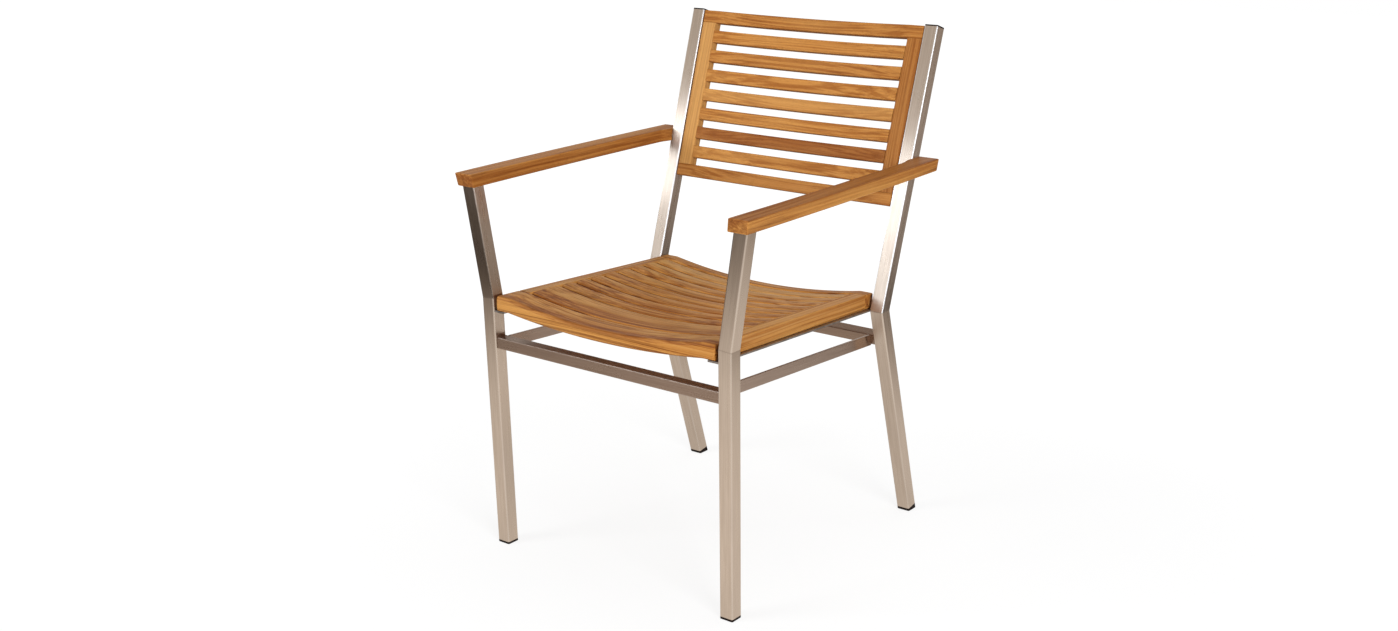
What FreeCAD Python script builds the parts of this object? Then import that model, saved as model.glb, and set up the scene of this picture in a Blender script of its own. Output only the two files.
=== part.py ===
import FreeCAD, Part
import os
import re
import Sketcher

# Teak and steel dining armchair. Millimetres and degrees, +Z up, the sitter faces -Y, left is +X.
# Each driving size is written once here: its name, its value and what it measures.
SIZES = [
    ("overall_height", 882.6, "floor to the highest edge of the upright caps"),
    ("tube_size", 25, "outside of the square tube of legs, posts and uprights"),
    ("tube_wall", 1.5, "wall of that tube"),
    ("tube_corner", 2.5, "outside corner radius of that tube"),
    ("rail_size", 20, "outside of the square tube of the front and rear rail"),
    ("rail_wall", 1.5, "wall of the rail tube"),
    ("rail_corner", 2, "outside corner radius of the rail tube"),
    ("leg_spacing", 487, "left to right between the centres of the legs"),
    ("front_knee_y", -286.33, "centre of the mitre on a front leg, from the middle of the chair"),
    ("knee_spacing", 442.8, "front mitre to rear mitre, front to back"),
    ("front_knee_height", 452, "height of the front mitre"),
    ("rear_knee_height", 414, "height of the rear mitre"),
    ("front_leg_rake", 1.81, "front legs run back by this angle on the way down"),
    ("post_splay", 8.97, "arm posts lean outward by this angle"),
    ("upright_lean", 16.43, "uprights lean back by this angle"),
    ("rear_foot_inset", 3.01, "rear feet stand this far ahead of the tops of the uprights"),
    ("front_foot_height", 4, "front foot below the tube"),
    ("rear_foot_height", 7.6, "rear foot below the tube, at its middle"),
    ("rear_foot_wedge", 10.5, "cut of the rear tube end against the floor"),
    ("cap_thickness", 2.2, "upright cap above the tube"),
    ("plug_length", 14, "stem of a foot or cap inside its tube"),
    ("plug_fit", 0.25, "stem to tube, each side"),
    ("front_rail_drop", 77.2, "centre of the front rail below the front mitre"),
    ("rear_rail_drop", 54.6, "centre of the rear rail below the rear mitre"),
    ("side_rail_height", 20, "flat bar on edge at each side, between front and rear rail"),
    ("side_rail_thickness", 4, "thickness of that bar"),
    ("side_rail_inset", 8, "the same bar inside the inner faces of the legs"),
    ("side_rail_front_lift", 1.1, "the same bar above the front rail, centre to centre"),
    ("side_rail_rear_drop", 4.3, "the same bar below the rear rail, centre to centre"),
    ("bearer_width", 20, "flat bar under each side of the seat"),
    ("bearer_thickness", 3, "thickness of that bar"),
    ("bearer_setback", 2, "front end of that bar behind the front of the seat"),
    ("seat_front_lift", 6, "top of the seat above the front mitre, at its front edge"),
    ("seat_rear_lift", 27, "top of the seat above the rear mitre, at its rear edge"),
    ("seat_setback", 1.2, "front of the seat behind the front faces of the legs"),
    ("seat_rear_reach", 7.5, "rear of the seat behind the rear mitre"),
    ("seat_gap", 6.5, "teak seat to the inner face of a leg"),
    ("seat_thickness", 26, "side rails and slat ends of the seat"),
    ("seat_dish", 18, "depth of the hollow across the seat"),
    ("seat_belly", 12.8, "front and rear slat bulge below their ends"),
    ("seat_front_depth", 56, "front slat, front to back"),
    ("seat_rear_depth", 26, "rear slat, front to back"),
    ("seat_front_round", 6, "rounded front edge of the seat"),
    ("seat_side_width", 24, "teak side rail, left to right"),
    ("seat_wide_width", 69.2, "wide slat next to the front slat, front to back"),
    ("seat_slat_width", 32, "every other slat between the side rails, front to back"),
    ("seat_slat_thickness", 16, "slat between the side rails"),
    ("slat_edge", 1.5, "bevel on the long edges of the slats"),
    ("tenon_length", 10, "tenon past its shoulder"),
    ("tenon_shoulder", 4, "teak left beside a tenon on each side"),
    ("tenon_fit", 0.3, "tenon to mortise, each side and at the end"),
    ("panel_gap", 2, "back panel to the inner face of an upright"),
    ("panel_setback", 2.3, "back panel behind the front faces of the uprights"),
    ("panel_height", 305, "back panel along the uprights"),
    ("panel_thickness", 18, "rails, stiles and slats of the back"),
    ("back_slat_height", 22, "rails and slats of the back, along the uprights"),
    ("back_bow", 13, "slats curve back behind their ends"),
    ("stile_width", 28, "upright teak member at each end of the back"),
    ("post_rise", 184.3, "underside of the arm above the front mitre"),
    ("arm_thickness", 21.4, "thickness of the armrest"),
    ("arm_rise", 1.17, "armrest climbs to the rear by this angle"),
    ("arm_front_overhang", 20.7, "armrest in front of the centre of its post"),
    ("arm_front_rake", 2.6, "lower front edge of the arm behind its upper front edge"),
    ("arm_inner_front", 19.6, "post centre to the lower inner edge at the front"),
    ("arm_outer_front", 16.9, "post centre to the lower outer edge at the front"),
    ("arm_inner_middle", 15.1, "post centre line to the lower inner edge halfway"),
    ("arm_outer_middle", 20.4, "post centre line to the lower outer edge halfway"),
    ("arm_inner_waist", 16.7, "post centre line to the lower inner edge where the hook starts"),
    ("arm_outer_rear", 17.4, "post centre line to the lower outer edge at the rear"),
    ("arm_hook_length", 24, "inner edge swings in to the upright over this length"),
    ("arm_lap", 2, "upper inner edge in front of the upright, inside its outer face"),
    ("arm_notch_fit", 1, "notch of the armrest to the front face of the upright"),
    ("arm_rear_overhang", 4, "armrest behind the rear face of the upright"),
    ("arm_edge", 1.8, "bevel along the upper edges of the armrest"),
    ("insert_height", 20, "steel block in the top of an arm post"),
    ("stud_radius", 4, "threaded stud under each arm"),
    ("stud_depth", 15, "stud in the block"),
    ("stud_rise", 14, "stud in the arm"),
    ("screw_radius", 2.5, "shank of every wood screw"),
    ("head_radius", 4.5, "head of every wood screw"),
    ("head_height", 2.8, "head of every wood screw"),
    ("seat_screw_length", 20, "seat screw under its head"),
    ("seat_screw_margin", 45, "seat screw from the end of the teak side rail"),
    ("back_screw_length", 15, "back screw under its head"),
    ("arm_screw_length", 20, "arm screw under its head"),
    ("access_radius", 5.5, "hole in the upright through which the arm screw is driven"),
    ("hole_fit", 0.3, "screw or stud to its hole, each side and at the end"),
    ("tab_width", 22, "plate that holds the back, left to right"),
    ("tab_height", 26, "the same plate along the upright"),
    ("tab_thickness", 3, "the same plate, front to back"),
    ("tab_margin", 48, "plate centre from the nearer end of a stile"),
]

SEAT_SLATS = 9
BACK_SLATS = 7

# Sizes that follow from the driving ones.
DERIVED = {
    "leg_half": "leg_spacing / 2",
    "leg_inner": "leg_half - tube_size / 2",
    "rear_knee_y": "front_knee_y + knee_spacing",
    "front_leg_length": "(front_knee_height - front_foot_height) / cos(front_leg_rake)",
    "upright_overhang": "(overall_height - rear_knee_height) * tan(upright_lean)",
    "rear_leg_fall": "(upright_overhang - rear_foot_inset) / (rear_knee_height - rear_foot_height)",
    "rear_leg_rake": "(atan(rear_leg_fall) / 1 deg)",
    "rear_leg_length": "(rear_knee_height - rear_foot_height) / cos(rear_leg_rake)",
    "front_mitre": "tan(post_splay / 2)",
    "rear_mitre": "tan((rear_leg_rake + upright_lean) / 2)",
    "cap_drop": "tube_size / 2 * sin(upright_lean)",
    "upright_reach": "(overall_height - rear_knee_height - cap_drop) / cos(upright_lean)",
    "upright_length": "upright_reach - cap_thickness",
    "bore_size": "tube_size - 2 * tube_wall",
    "plug_size": "bore_size - 2 * plug_fit",
    "arm_underside": "front_knee_height + post_rise",
    "post_length": "post_rise / (cos(post_splay) * cos(front_leg_rake))",
    "post_lean_x": "post_length * sin(post_splay)",
    "post_top_x": "leg_half + post_lean_x",
    "post_top_y": "front_knee_y - post_rise * tan(front_leg_rake)",
    "front_rail_height": "front_knee_height - front_rail_drop",
    "rear_rail_height": "rear_knee_height - rear_rail_drop",
    "front_rail_y": "front_knee_y + front_rail_drop * tan(front_leg_rake)",
    "rear_rail_y": "rear_knee_y + rear_rail_drop * tan(rear_leg_rake)",
    "side_rail_x": "leg_inner - side_rail_inset - side_rail_thickness / 2",
    "rail_run": "rear_rail_y - front_rail_y",
    "rail_fall": "front_rail_height - rear_rail_height",
    "side_rail_slope": "(side_rail_front_lift + rail_fall + side_rail_rear_drop) / rail_run",
    "seat_front_y": "front_knee_y - tube_size / 2 + seat_setback",
    "seat_front_height": "front_knee_height + seat_front_lift",
    "seat_rear_height": "rear_knee_height + seat_rear_lift",
    "seat_run": "rear_knee_y + seat_rear_reach - seat_front_y",
    "seat_slope": "(atan((seat_front_height - seat_rear_height) / seat_run) / 1 deg)",
    "seat_depth": "seat_run / cos(seat_slope)",
    "seat_half": "leg_inner - seat_gap",
    "slat_half": "seat_half - seat_side_width",
    "seat_side_length": "seat_depth - seat_front_depth - seat_rear_depth",
    "seat_slat_gap": "(seat_side_length - seat_wide_width - %d * seat_slat_width) / %d" % (
        SEAT_SLATS - 1, SEAT_SLATS + 1),
    "seat_pitch": "seat_slat_width + seat_slat_gap",
    "seat_side_middle": "seat_half - seat_side_width / 2",
    "bearer_run": "rear_knee_y + tube_size / 2 - seat_front_y",
    "bearer_end": "bearer_run / cos(seat_slope) - bearer_setback",
    "seat_screw_x": "(seat_half + leg_inner - bearer_width) / 2",
    "seat_screw_first": "seat_front_depth + seat_screw_margin",
    "seat_screw_step": "seat_side_length / 2 - seat_screw_margin",
    "panel_half": "leg_inner - panel_gap",
    "panel_front": "panel_setback - tube_size / 2",
    "panel_bottom": "upright_length - panel_height",
    "back_half": "panel_half - stile_width",
    "back_pitch": "(panel_height - back_slat_height) / %d" % (BACK_SLATS + 1),
    "stile_length": "panel_height - 2 * back_slat_height",
    "stile_middle": "panel_half - stile_width / 2",
    "arm_mid_rise": "arm_thickness / (2 * cos(arm_rise)) - post_top_y * tan(arm_rise)",
    "arm_mid_level": "arm_underside + arm_mid_rise",
    "arm_level_lean": "(arm_mid_level - rear_knee_height) * tan(upright_lean)",
    "arm_screw_y": "(rear_knee_y + arm_level_lean) / (1 - tan(arm_rise) * tan(upright_lean))",
    "arm_screw_z": "arm_mid_level + arm_screw_y * tan(arm_rise)",
    "arm_run": "(arm_screw_y - post_top_y) / cos(arm_rise)",
    "arm_screw_along": "arm_run + arm_thickness / 2 * tan(arm_rise)",
    "arm_screw_up": "(arm_screw_z - rear_knee_height) / cos(upright_lean)",
    "tube_half_level": "tube_size / (2 * cos(upright_lean))",
    "arm_end": "arm_screw_along + tube_half_level + arm_rear_overhang",
    "arm_lap_start": "arm_screw_along - tube_half_level - 2 * arm_rear_overhang",
    "arm_hook_start": "arm_lap_start - arm_hook_length",
    "arm_seat_x": "tube_size / 2 - post_lean_x",
    "arm_lean": "arm_thickness * tan(post_splay)",
    "arm_lap_x": "arm_seat_x - arm_lean - arm_lap",
    "arm_notch_slope": "tan(upright_lean + arm_rise)",
    "arm_notch_middle": "arm_screw_along - tube_size / (2 * cos(upright_lean + arm_rise)) - arm_notch_fit",
    "arm_notch_low": "arm_notch_middle - arm_thickness / 2 * arm_notch_slope",
    "arm_notch_high": "arm_notch_middle + arm_thickness / 2 * arm_notch_slope",
    "screw_hole": "screw_radius + hole_fit",
    "stud_hole": "stud_radius + hole_fit",
}

SIDES = (("left", 1), ("right", -1))

doc = FreeCAD.newDocument("armchair")
sheet = doc.addObject("Spreadsheet::Sheet", "Sizes")
for row, (name, size, note) in enumerate(SIZES, 1):
    sheet.set("A%d" % row, note)
    sheet.set("B%d" % row, str(size))
    sheet.setAlias("B%d" % row, name)
doc.recompute()
NAMES = {name for name, size, note in SIZES}
pieces = []


def spelled(text):
    """Write a size expression out in the names of the sheet."""
    def spell(match):
        word = match.group(0)
        if word in DERIVED:
            return "(" + spelled(DERIVED[word]) + ")"
        if word in NAMES:
            return "Sizes." + word
        return word
    return re.sub(r"[a-z_]\w*", spell, str(text))


def measured(text):
    """Work out what a size expression comes to."""
    result = sheet.evalExpression(spelled(text))
    return float(getattr(result, "Value", result))


def bind(thing, prop, text):
    """Tie a property to a size expression."""
    thing.setExpression(prop, spelled(text))


def place(thing, spot, turn="rotationx(0)"):
    """Tie an object's place and turn to size expressions."""
    bind(thing, "Placement", "placement(vector(%s; %s; %s); %s)" % (*spot, turn))


# Frames of the leaning assemblies: a spot in the frame, given in the chair's own axes.
FRONT_TURN = "rotationx(front_leg_rake)"
REAR_TURN = "rotationx(rear_leg_rake)"
BACK_TURN = "rotationx(-upright_lean)"
SEAT_TURN = "rotationx(-seat_slope)"
ARM_TURN = "rotationx(arm_rise)"


def tilted(origin_y, origin_z, angle, x, y, z):
    """Find a spot of a frame that is turned about the X axis."""
    spot_y = "%s + (%s) * cos(%s) - (%s) * sin(%s)" % (origin_y, y, angle, z, angle)
    spot_z = "%s + (%s) * sin(%s) + (%s) * cos(%s)" % (origin_z, y, angle, z, angle)
    return x, spot_y, spot_z


def in_seat(x, y, z):
    return tilted("seat_front_y", "seat_front_height", "(-seat_slope)", x, y, z)


def in_back(x, y, z):
    return tilted("rear_knee_y", "rear_knee_height", "(-upright_lean)", x, y, z)


def new_body(label, spot, turn):
    body = doc.addObject("PartDesign::Body", label)
    body.Label = label
    place(body, spot, turn)
    pieces.append(body)
    return body


def new_sketch(body, plane, offset="0"):
    """Start a sketch on one of the body's own planes, moved along the plane's normal."""
    support = [f for f in body.Origin.OriginFeatures if f.Role == plane][0]
    sketch = body.newObject("Sketcher::SketchObject", "Sketch")
    sketch.AttachmentSupport = [(support, "")]
    sketch.MapMode = "FlatFace"
    bind(sketch, ".AttachmentOffset.Base.z", offset)
    return sketch


def pin_point(sketch, geometry, end, x, y):
    """Dimension one point of a sketch from the sketch's origin."""
    for kind, text in (("DistanceX", x), ("DistanceY", y)):
        row = sketch.addConstraint(Sketcher.Constraint(kind, -1, 1, geometry, end, measured(text)))
        bind(sketch, "Constraints[%d]" % row, text)


def outline(sketch, corners, bends=()):
    """Draw a closed outline; bends give the side that is an arc and the point it passes through."""
    bends = dict(bends)
    spots = [FreeCAD.Vector(measured(x), measured(y), 0) for x, y in corners]
    ends = []
    for side, start in enumerate(spots):
        stop = spots[(side + 1) % len(spots)]
        if side in bends:
            through = FreeCAD.Vector(*[measured(text) for text in bends[side]], 0)
            clockwise = (through - start).cross(stop - through).z < 0
            first, last = (stop, start) if clockwise else (start, stop)
            number = sketch.addGeometry(Part.ArcOfCircle(first, through, last), False)
            point = sketch.addGeometry(Part.Point(through), True)
            sketch.addConstraint(Sketcher.Constraint("PointOnObject", point, 1, number))
            pin_point(sketch, point, 1, *bends[side])
            ends.append((number, 2, 1) if clockwise else (number, 1, 2))
        else:
            ends.append((sketch.addGeometry(Part.LineSegment(start, stop), False), 1, 2))
    for side, (number, first, last) in enumerate(ends):
        before = ends[side - 1]
        sketch.addConstraint(Sketcher.Constraint("Coincident", before[0], before[2], number, first))
        pin_point(sketch, number, first, *corners[side])


def rectangle(sketch, x0, y0, x1, y1):
    outline(sketch, [(x0, y0), (x1, y0), (x1, y1), (x0, y1)])


def circle(sketch, x, y, radius):
    centre = FreeCAD.Vector(measured(x), measured(y), 0)
    ring = Part.Circle(centre, FreeCAD.Vector(0, 0, 1), measured(radius))
    number = sketch.addGeometry(ring, False)
    pin_point(sketch, number, 3, x, y)
    row = sketch.addConstraint(Sketcher.Constraint("Radius", number, measured(radius)))
    bind(sketch, "Constraints[%d]" % row, radius)


def octagon(sketch, x, y, radius):
    """Draw a hidden hole for a screw or stud with eight sides, a corner on each axis."""
    outline(sketch, [("%s + (%s) * cos(%d)" % (x, radius, 45 * corner),
                      "%s + (%s) * sin(%d)" % (y, radius, 45 * corner)) for corner in range(8)])


def pad(body, sketch, length, back=None, flipped=False, lean=None):
    """Raise a sketch along its normal, also the other way by the length in back, or leaning along X."""
    feature = body.newObject("PartDesign::Pad", "Pad")
    feature.Profile = sketch
    feature.Reversed = flipped
    bind(feature, "Length", length)
    if lean:
        feature.UseCustomVector = True
        feature.AlongSketchNormal = True
        feature.Direction = FreeCAD.Vector(0, 0, 1)
        bind(feature, ".Direction.x", lean)
    if back:
        feature.SideType = "Two sides"
        bind(feature, "Length2", back)
    sketch.Visibility = False
    doc.recompute()
    return feature


def loft(body, sketches):
    """Add the straight-sided form between like outlines at rising levels."""
    feature = body.newObject("PartDesign::AdditiveLoft", "Loft")
    feature.Profile = sketches[0]
    feature.Sections = sketches[1:]
    feature.Ruled = True
    for sketch in sketches:
        sketch.Visibility = False
    doc.recompute()
    return feature


def pocket(body, sketch, depth=None, flipped=False):
    """Cut a sketch out against its normal; with no depth it cuts right through both ways."""
    whole = body.Tip.Shape.Volume
    feature = body.newObject("PartDesign::Pocket", "Pocket")
    feature.Profile = sketch
    feature.Reversed = flipped
    if depth:
        bind(feature, "Length", depth)
    else:
        feature.Type = "ThroughAll"
        feature.SideType = "Symmetric"
    sketch.Visibility = False
    doc.recompute()
    if not feature.Shape.Volume < whole - 0.1:
        raise RuntimeError("a pocket of %s cuts nothing" % body.Label)
    return feature


def ease(body, chosen, size, kind="Fillet"):
    """Round, or with Chamfer bevel, those edges of the body that the test picks out."""
    solid = body.Tip
    names = ["Edge%d" % n for n, edge in enumerate(solid.Shape.Edges, 1) if chosen(edge)]
    feature = body.newObject("PartDesign::" + kind, kind)
    feature.Base = (solid, names)
    bind(feature, "Radius" if kind == "Fillet" else "Size", size)
    doc.recompute()
    return feature


def mirrored(body, feature, plane):
    """Repeat a feature on the other side of one of the body's planes."""
    copy = body.newObject("PartDesign::Mirrored", "Mirrored")
    copy.Originals = [feature]
    copy.MirrorPlane = ([f for f in body.Origin.OriginFeatures if f.Role == plane][0], [""])
    body.Tip = copy
    doc.recompute()
    return copy


def repeated(body, feature, axis, step, count):
    """Repeat a feature along one of the body's axes."""
    row = body.newObject("PartDesign::LinearPattern", "Row")
    row.Originals = [feature]
    row.Direction = ([f for f in body.Origin.OriginFeatures if f.Role == axis][0], [""])
    bind(row, "Length", "%d * (%s)" % (count - 1, step))
    row.Occurrences = count
    body.Tip = row
    doc.recompute()
    return row


def near(value, text, slack=0.02):
    return abs(value - measured(text)) < slack


def slice_off(body, plane, size, level, slope, keep_below):
    """Cut a bar off along a tilted line: height = level + slope * distance from the bar's middle."""
    far = "(%s) %s 2 * %s" % (level, "+" if keep_below else "-", size)
    low = "(%s) - (%s) * %s" % (level, slope, size)
    high = "(%s) + (%s) * %s" % (level, slope, size)
    sketch = new_sketch(body, plane)
    outline(sketch, [("-" + size, low), (size, high), (size, far), ("-" + size, far)])
    pocket(body, sketch)


def square_bar(label, spot, turn, size, corner, up, down, cuts, wall=None):
    """Make a square bar or tube along the frame's Z axis, cut its ends and round its long edges."""
    body = new_body(label, spot, turn)
    sketch = new_sketch(body, "XY_Plane")
    half = size + " / 2"
    rectangle(sketch, "-" + half, "-" + half, half, half)
    if wall:
        bore = "(%s - %s)" % (half, wall)
        rectangle(sketch, "-" + bore, "-" + bore, bore, bore)
    pad(body, sketch, up, down)

    def long_outer_edge(edge):
        centre = edge.CenterOfMass
        runs_along = abs(edge.tangentAt(edge.FirstParameter).z) > 0.999
        return runs_along and near(abs(centre.x), half) and near(abs(centre.y), half)

    if corner:
        ease(body, long_outer_edge, corner)
    for plane, level, slope, keep_below in cuts:
        slice_off(body, plane, size, level, slope, keep_below)
    return body


def tube(label, spot, turn, up, down, cuts):
    return square_bar(label, spot, turn, "tube_size", "tube_corner", up, down, cuts, "tube_wall")


def rail(label, spot, turn, up, down, cuts):
    return square_bar(label, spot, turn, "rail_size", "rail_corner", up, down, cuts, "rail_wall")


def plug(label, spot, turn, up, down, cuts, root, stem_up):
    """Make a foot or cap: a flange as wide as the tube with a stem that starts in the flange."""
    body = square_bar(label, spot, turn, "tube_size", "tube_corner", up, down, cuts)
    sketch = new_sketch(body, "XY_Plane")
    half = "plug_size / 2"
    rectangle(sketch, "-" + half, "-" + half, half, half)
    if stem_up:
        pad(body, sketch, "plug_length", root)
    else:
        pad(body, sketch, root, "plug_length")


def cut_under_arm(label, base, side):
    """Cut a bar off along the underside of the armrest that lies on it."""
    slab = doc.addObject("Part::Box", "arm_slab")
    for prop in ("Length", "Width", "Height"):
        bind(slab, prop, "2 * tube_size")
    corner_x = "%d * post_top_x - tube_size" % side
    place(slab, tilted("post_top_y", "arm_underside", "arm_rise", corner_x, "-tube_size", "0"), ARM_TURN)
    bar = doc.addObject("Part::Cut", label)
    bar.Label = label
    bar.Base = base
    bar.Tool = slab
    pieces.append(bar)


# Steel frame: mitred legs, posts and uprights, with their feet and caps.
for name, side in SIDES:
    front_knee = ("%d * leg_half" % side, "front_knee_y", "front_knee_height")
    rear_knee = ("%d * leg_half" % side, "rear_knee_y", "rear_knee_height")
    splayed = FRONT_TURN + " * rotationy(%d * post_splay)" % side

    tube("front_leg_" + name, front_knee, FRONT_TURN, "tube_size", "front_leg_length + tube_size", [
        ("XZ_Plane", "0", "%d * front_mitre" % -side, True),
        ("YZ_Plane", "-front_leg_length", "-tan(front_leg_rake)", False)])
    tube("post_tube_" + name, front_knee, splayed, "post_length + tube_size", "tube_size", [
        ("XZ_Plane", "0", "%d * front_mitre" % side, False)])
    cut_under_arm("arm_post_" + name, pieces.pop(), side)
    tube("rear_leg_" + name, rear_knee, REAR_TURN, "tube_size", "rear_leg_length + tube_size", [
        ("YZ_Plane", "0", "-rear_mitre", True),
        ("YZ_Plane", "-rear_leg_length", "tan(rear_foot_wedge - rear_leg_rake)", False)])
    upright = tube("back_upright_" + name, rear_knee, BACK_TURN, "upright_length", "tube_size", [
        ("YZ_Plane", "0", "rear_mitre", False)])

    # The arm screw passes the outer wall; the inner wall has a wider hole for the driver.
    for shape, radius, outward in ((circle, "access_radius", False), (octagon, "screw_hole", True)):
        sketch = new_sketch(upright, "YZ_Plane")
        shape(sketch, "0", "arm_screw_up", radius)
        pocket(upright, sketch, "tube_size", flipped=outward == (side > 0))

    plug("front_foot_" + name,
         tilted("front_knee_y", "front_knee_height", "front_leg_rake",
                front_knee[0], "0", "-front_leg_length"),
         FRONT_TURN, "tube_size", "tube_size", [
             ("YZ_Plane", "0", "-tan(front_leg_rake)", True),
             ("YZ_Plane", "-front_foot_height / cos(front_leg_rake)", "-tan(front_leg_rake)", False)],
         "front_foot_height / 2", True)
    plug("rear_foot_" + name,
         tilted("rear_knee_y", "rear_knee_height", "rear_leg_rake",
                rear_knee[0], "0", "-rear_leg_length"),
         REAR_TURN, "tube_size", "tube_size", [
             ("YZ_Plane", "0", "tan(rear_foot_wedge - rear_leg_rake)", True),
             ("YZ_Plane", "-rear_foot_height / cos(rear_leg_rake)", "-tan(rear_leg_rake)", False)],
         "front_foot_height / 2", True)
    plug("upright_cap_" + name, in_back(rear_knee[0], "0", "upright_length"), BACK_TURN,
         "cap_thickness", None, [], "cap_thickness / 2", False)

def bar_end(start, run, rise, rake):
    """Give the spot where an edge of the side bar, at a start height, meets the face of a raked rail."""
    reach = "((%s + (%s - %s) * tan(%s)) / (1 - side_rail_slope * tan(%s)))" % (run, rise, start, rake, rake)
    return reach, "%s - side_rail_slope * %s" % (start, reach)


# Steel rails: square tube raked like the legs, in front and behind, and a flat bar on edge at each side.
between_legs = "leg_spacing / 2 - tube_size / 2"
for name, turn in (("front", FRONT_TURN), ("rear", REAR_TURN)):
    rail(name + "_rail", ("0", name + "_rail_y", name + "_rail_height"), turn + " * rotationy(90)",
         between_legs, between_legs, [])
upper_edge = "(side_rail_front_lift + side_rail_height / 2)"
lower_edge = "(side_rail_front_lift - side_rail_height / 2)"
front_face = ("rail_size / 2 / cos(front_leg_rake)", "0", "front_leg_rake")
rear_face = ("rail_run - rail_size / 2 / cos(rear_leg_rake)", "-rail_fall", "rear_leg_rake")
for name, side in SIDES:
    body = new_body("side_rail_" + name,
                    ("%d * side_rail_x" % side, "front_rail_y", "front_rail_height"), "rotationx(0)")
    sketch = new_sketch(body, "YZ_Plane")
    outline(sketch, [
        bar_end(lower_edge, *front_face), bar_end(lower_edge, *rear_face),
        bar_end(upper_edge, *rear_face), bar_end(upper_edge, *front_face)])
    pad(body, sketch, "side_rail_thickness / 2", "side_rail_thickness / 2")

# Seat bearers: flat bars on the inner faces of the legs, drilled for the seat screws.
seat_screw_spots = ["seat_screw_first + %d * seat_screw_step" % n for n in range(3)]
for name, side in SIDES:
    body = new_body("seat_bearer_" + name, in_seat("0", "0", "-seat_thickness"), SEAT_TURN)
    sketch = new_sketch(body, "XY_Plane")
    rectangle(sketch, "%d * (leg_inner - bearer_width)" % side, "bearer_setback",
              "%d * leg_inner" % side, "bearer_end")
    for spot in seat_screw_spots:
        octagon(sketch, "%d * seat_screw_x" % side, spot, "screw_hole")
    pad(body, sketch, "bearer_thickness", flipped=True)


def end_tenons(body, half, tenon):
    """Give a slat the same tenon at both ends."""
    sketch = new_sketch(body, "YZ_Plane", half)
    rectangle(sketch, *tenon)
    mirrored(body, pad(body, sketch, "tenon_length"), "YZ_Plane")


def shrunk(x0, y0, x1, y1, edge):
    """Draw a rectangle's sides in by an edge, or out by a negative one."""
    return x0 + " + " + edge, y0 + " + " + edge, x1 + " - " + edge, y1 + " - " + edge


# Dished seat: front and rear slat run the full width, the others are tenoned into the side rails.
def seat_end_slat(label, y, depth, face, cuts_forward):
    """Make a full-width slat with level ends, a hollow top and a belly below."""
    body = new_body(label, in_seat("0", y, "0"), SEAT_TURN)
    sketch = new_sketch(body, "XZ_Plane")
    outline(sketch, [
        ("-seat_half", "0"), ("-slat_half", "0"), ("slat_half", "0"), ("seat_half", "0"),
        ("seat_half", "-seat_thickness"), ("slat_half", "-seat_thickness"),
        ("-slat_half", "-seat_thickness"), ("-seat_half", "-seat_thickness")],
        {1: ("0", "-seat_dish"), 5: ("0", "-seat_thickness - seat_belly")})
    pad(body, sketch, depth, flipped=True)
    for side in (1, -1):
        sketch = new_sketch(body, "XZ_Plane", "-(%s)" % face)
        middle = "%d * seat_side_middle" % side
        hole = shrunk(middle + " - seat_side_width / 2", "-seat_thickness",
                      middle + " + seat_side_width / 2", "0", "(tenon_shoulder - tenon_fit)")
        rectangle(sketch, *hole)
        pocket(body, sketch, "tenon_length + tenon_fit", flipped=cuts_forward)
    return body


front_slat = seat_end_slat("seat_front_slat", "0", "seat_front_depth", "seat_front_depth", True)


def upper_front_edge(edge):
    box = edge.BoundBox
    return box.YMax < 0.01 and near(box.ZMax, "0") and box.XLength > 1


ease(front_slat, upper_front_edge, "seat_front_round")
seat_end_slat("seat_rear_slat", "seat_front_depth + seat_side_length", "seat_rear_depth", "0", False)


def seat_slat_place(number):
    """Return how far a slat starts behind the front slat, its width and its tenon."""
    start = "seat_slat_gap"
    width = "seat_wide_width"
    if number > 0:
        start = "2 * seat_slat_gap + seat_wide_width + %d * seat_pitch" % (number - 1)
        width = "seat_slat_width"
    return start, width, shrunk("0", "-seat_slat_thickness", width, "0", "tenon_shoulder")


for number in range(SEAT_SLATS):
    start, width, tenon = seat_slat_place(number)
    along = "seat_front_depth + " + start
    body = new_body("seat_slat_%d" % (number + 1), in_seat("0", along, "0"), SEAT_TURN)
    sketch = new_sketch(body, "XZ_Plane")
    outline(sketch, [
        ("-slat_half", "0"), ("slat_half", "0"),
        ("slat_half", "-seat_slat_thickness"), ("-slat_half", "-seat_slat_thickness")],
        {0: ("0", "-seat_dish"), 2: ("0", "-seat_dish - seat_slat_thickness")})
    pad(body, sketch, width, flipped=True)
    ease(body, lambda edge: near(edge.BoundBox.ZMax, "0") and near(edge.BoundBox.XLength, "2 * slat_half"),
         "slat_edge", "Chamfer")
    end_tenons(body, "slat_half", tenon)

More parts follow.
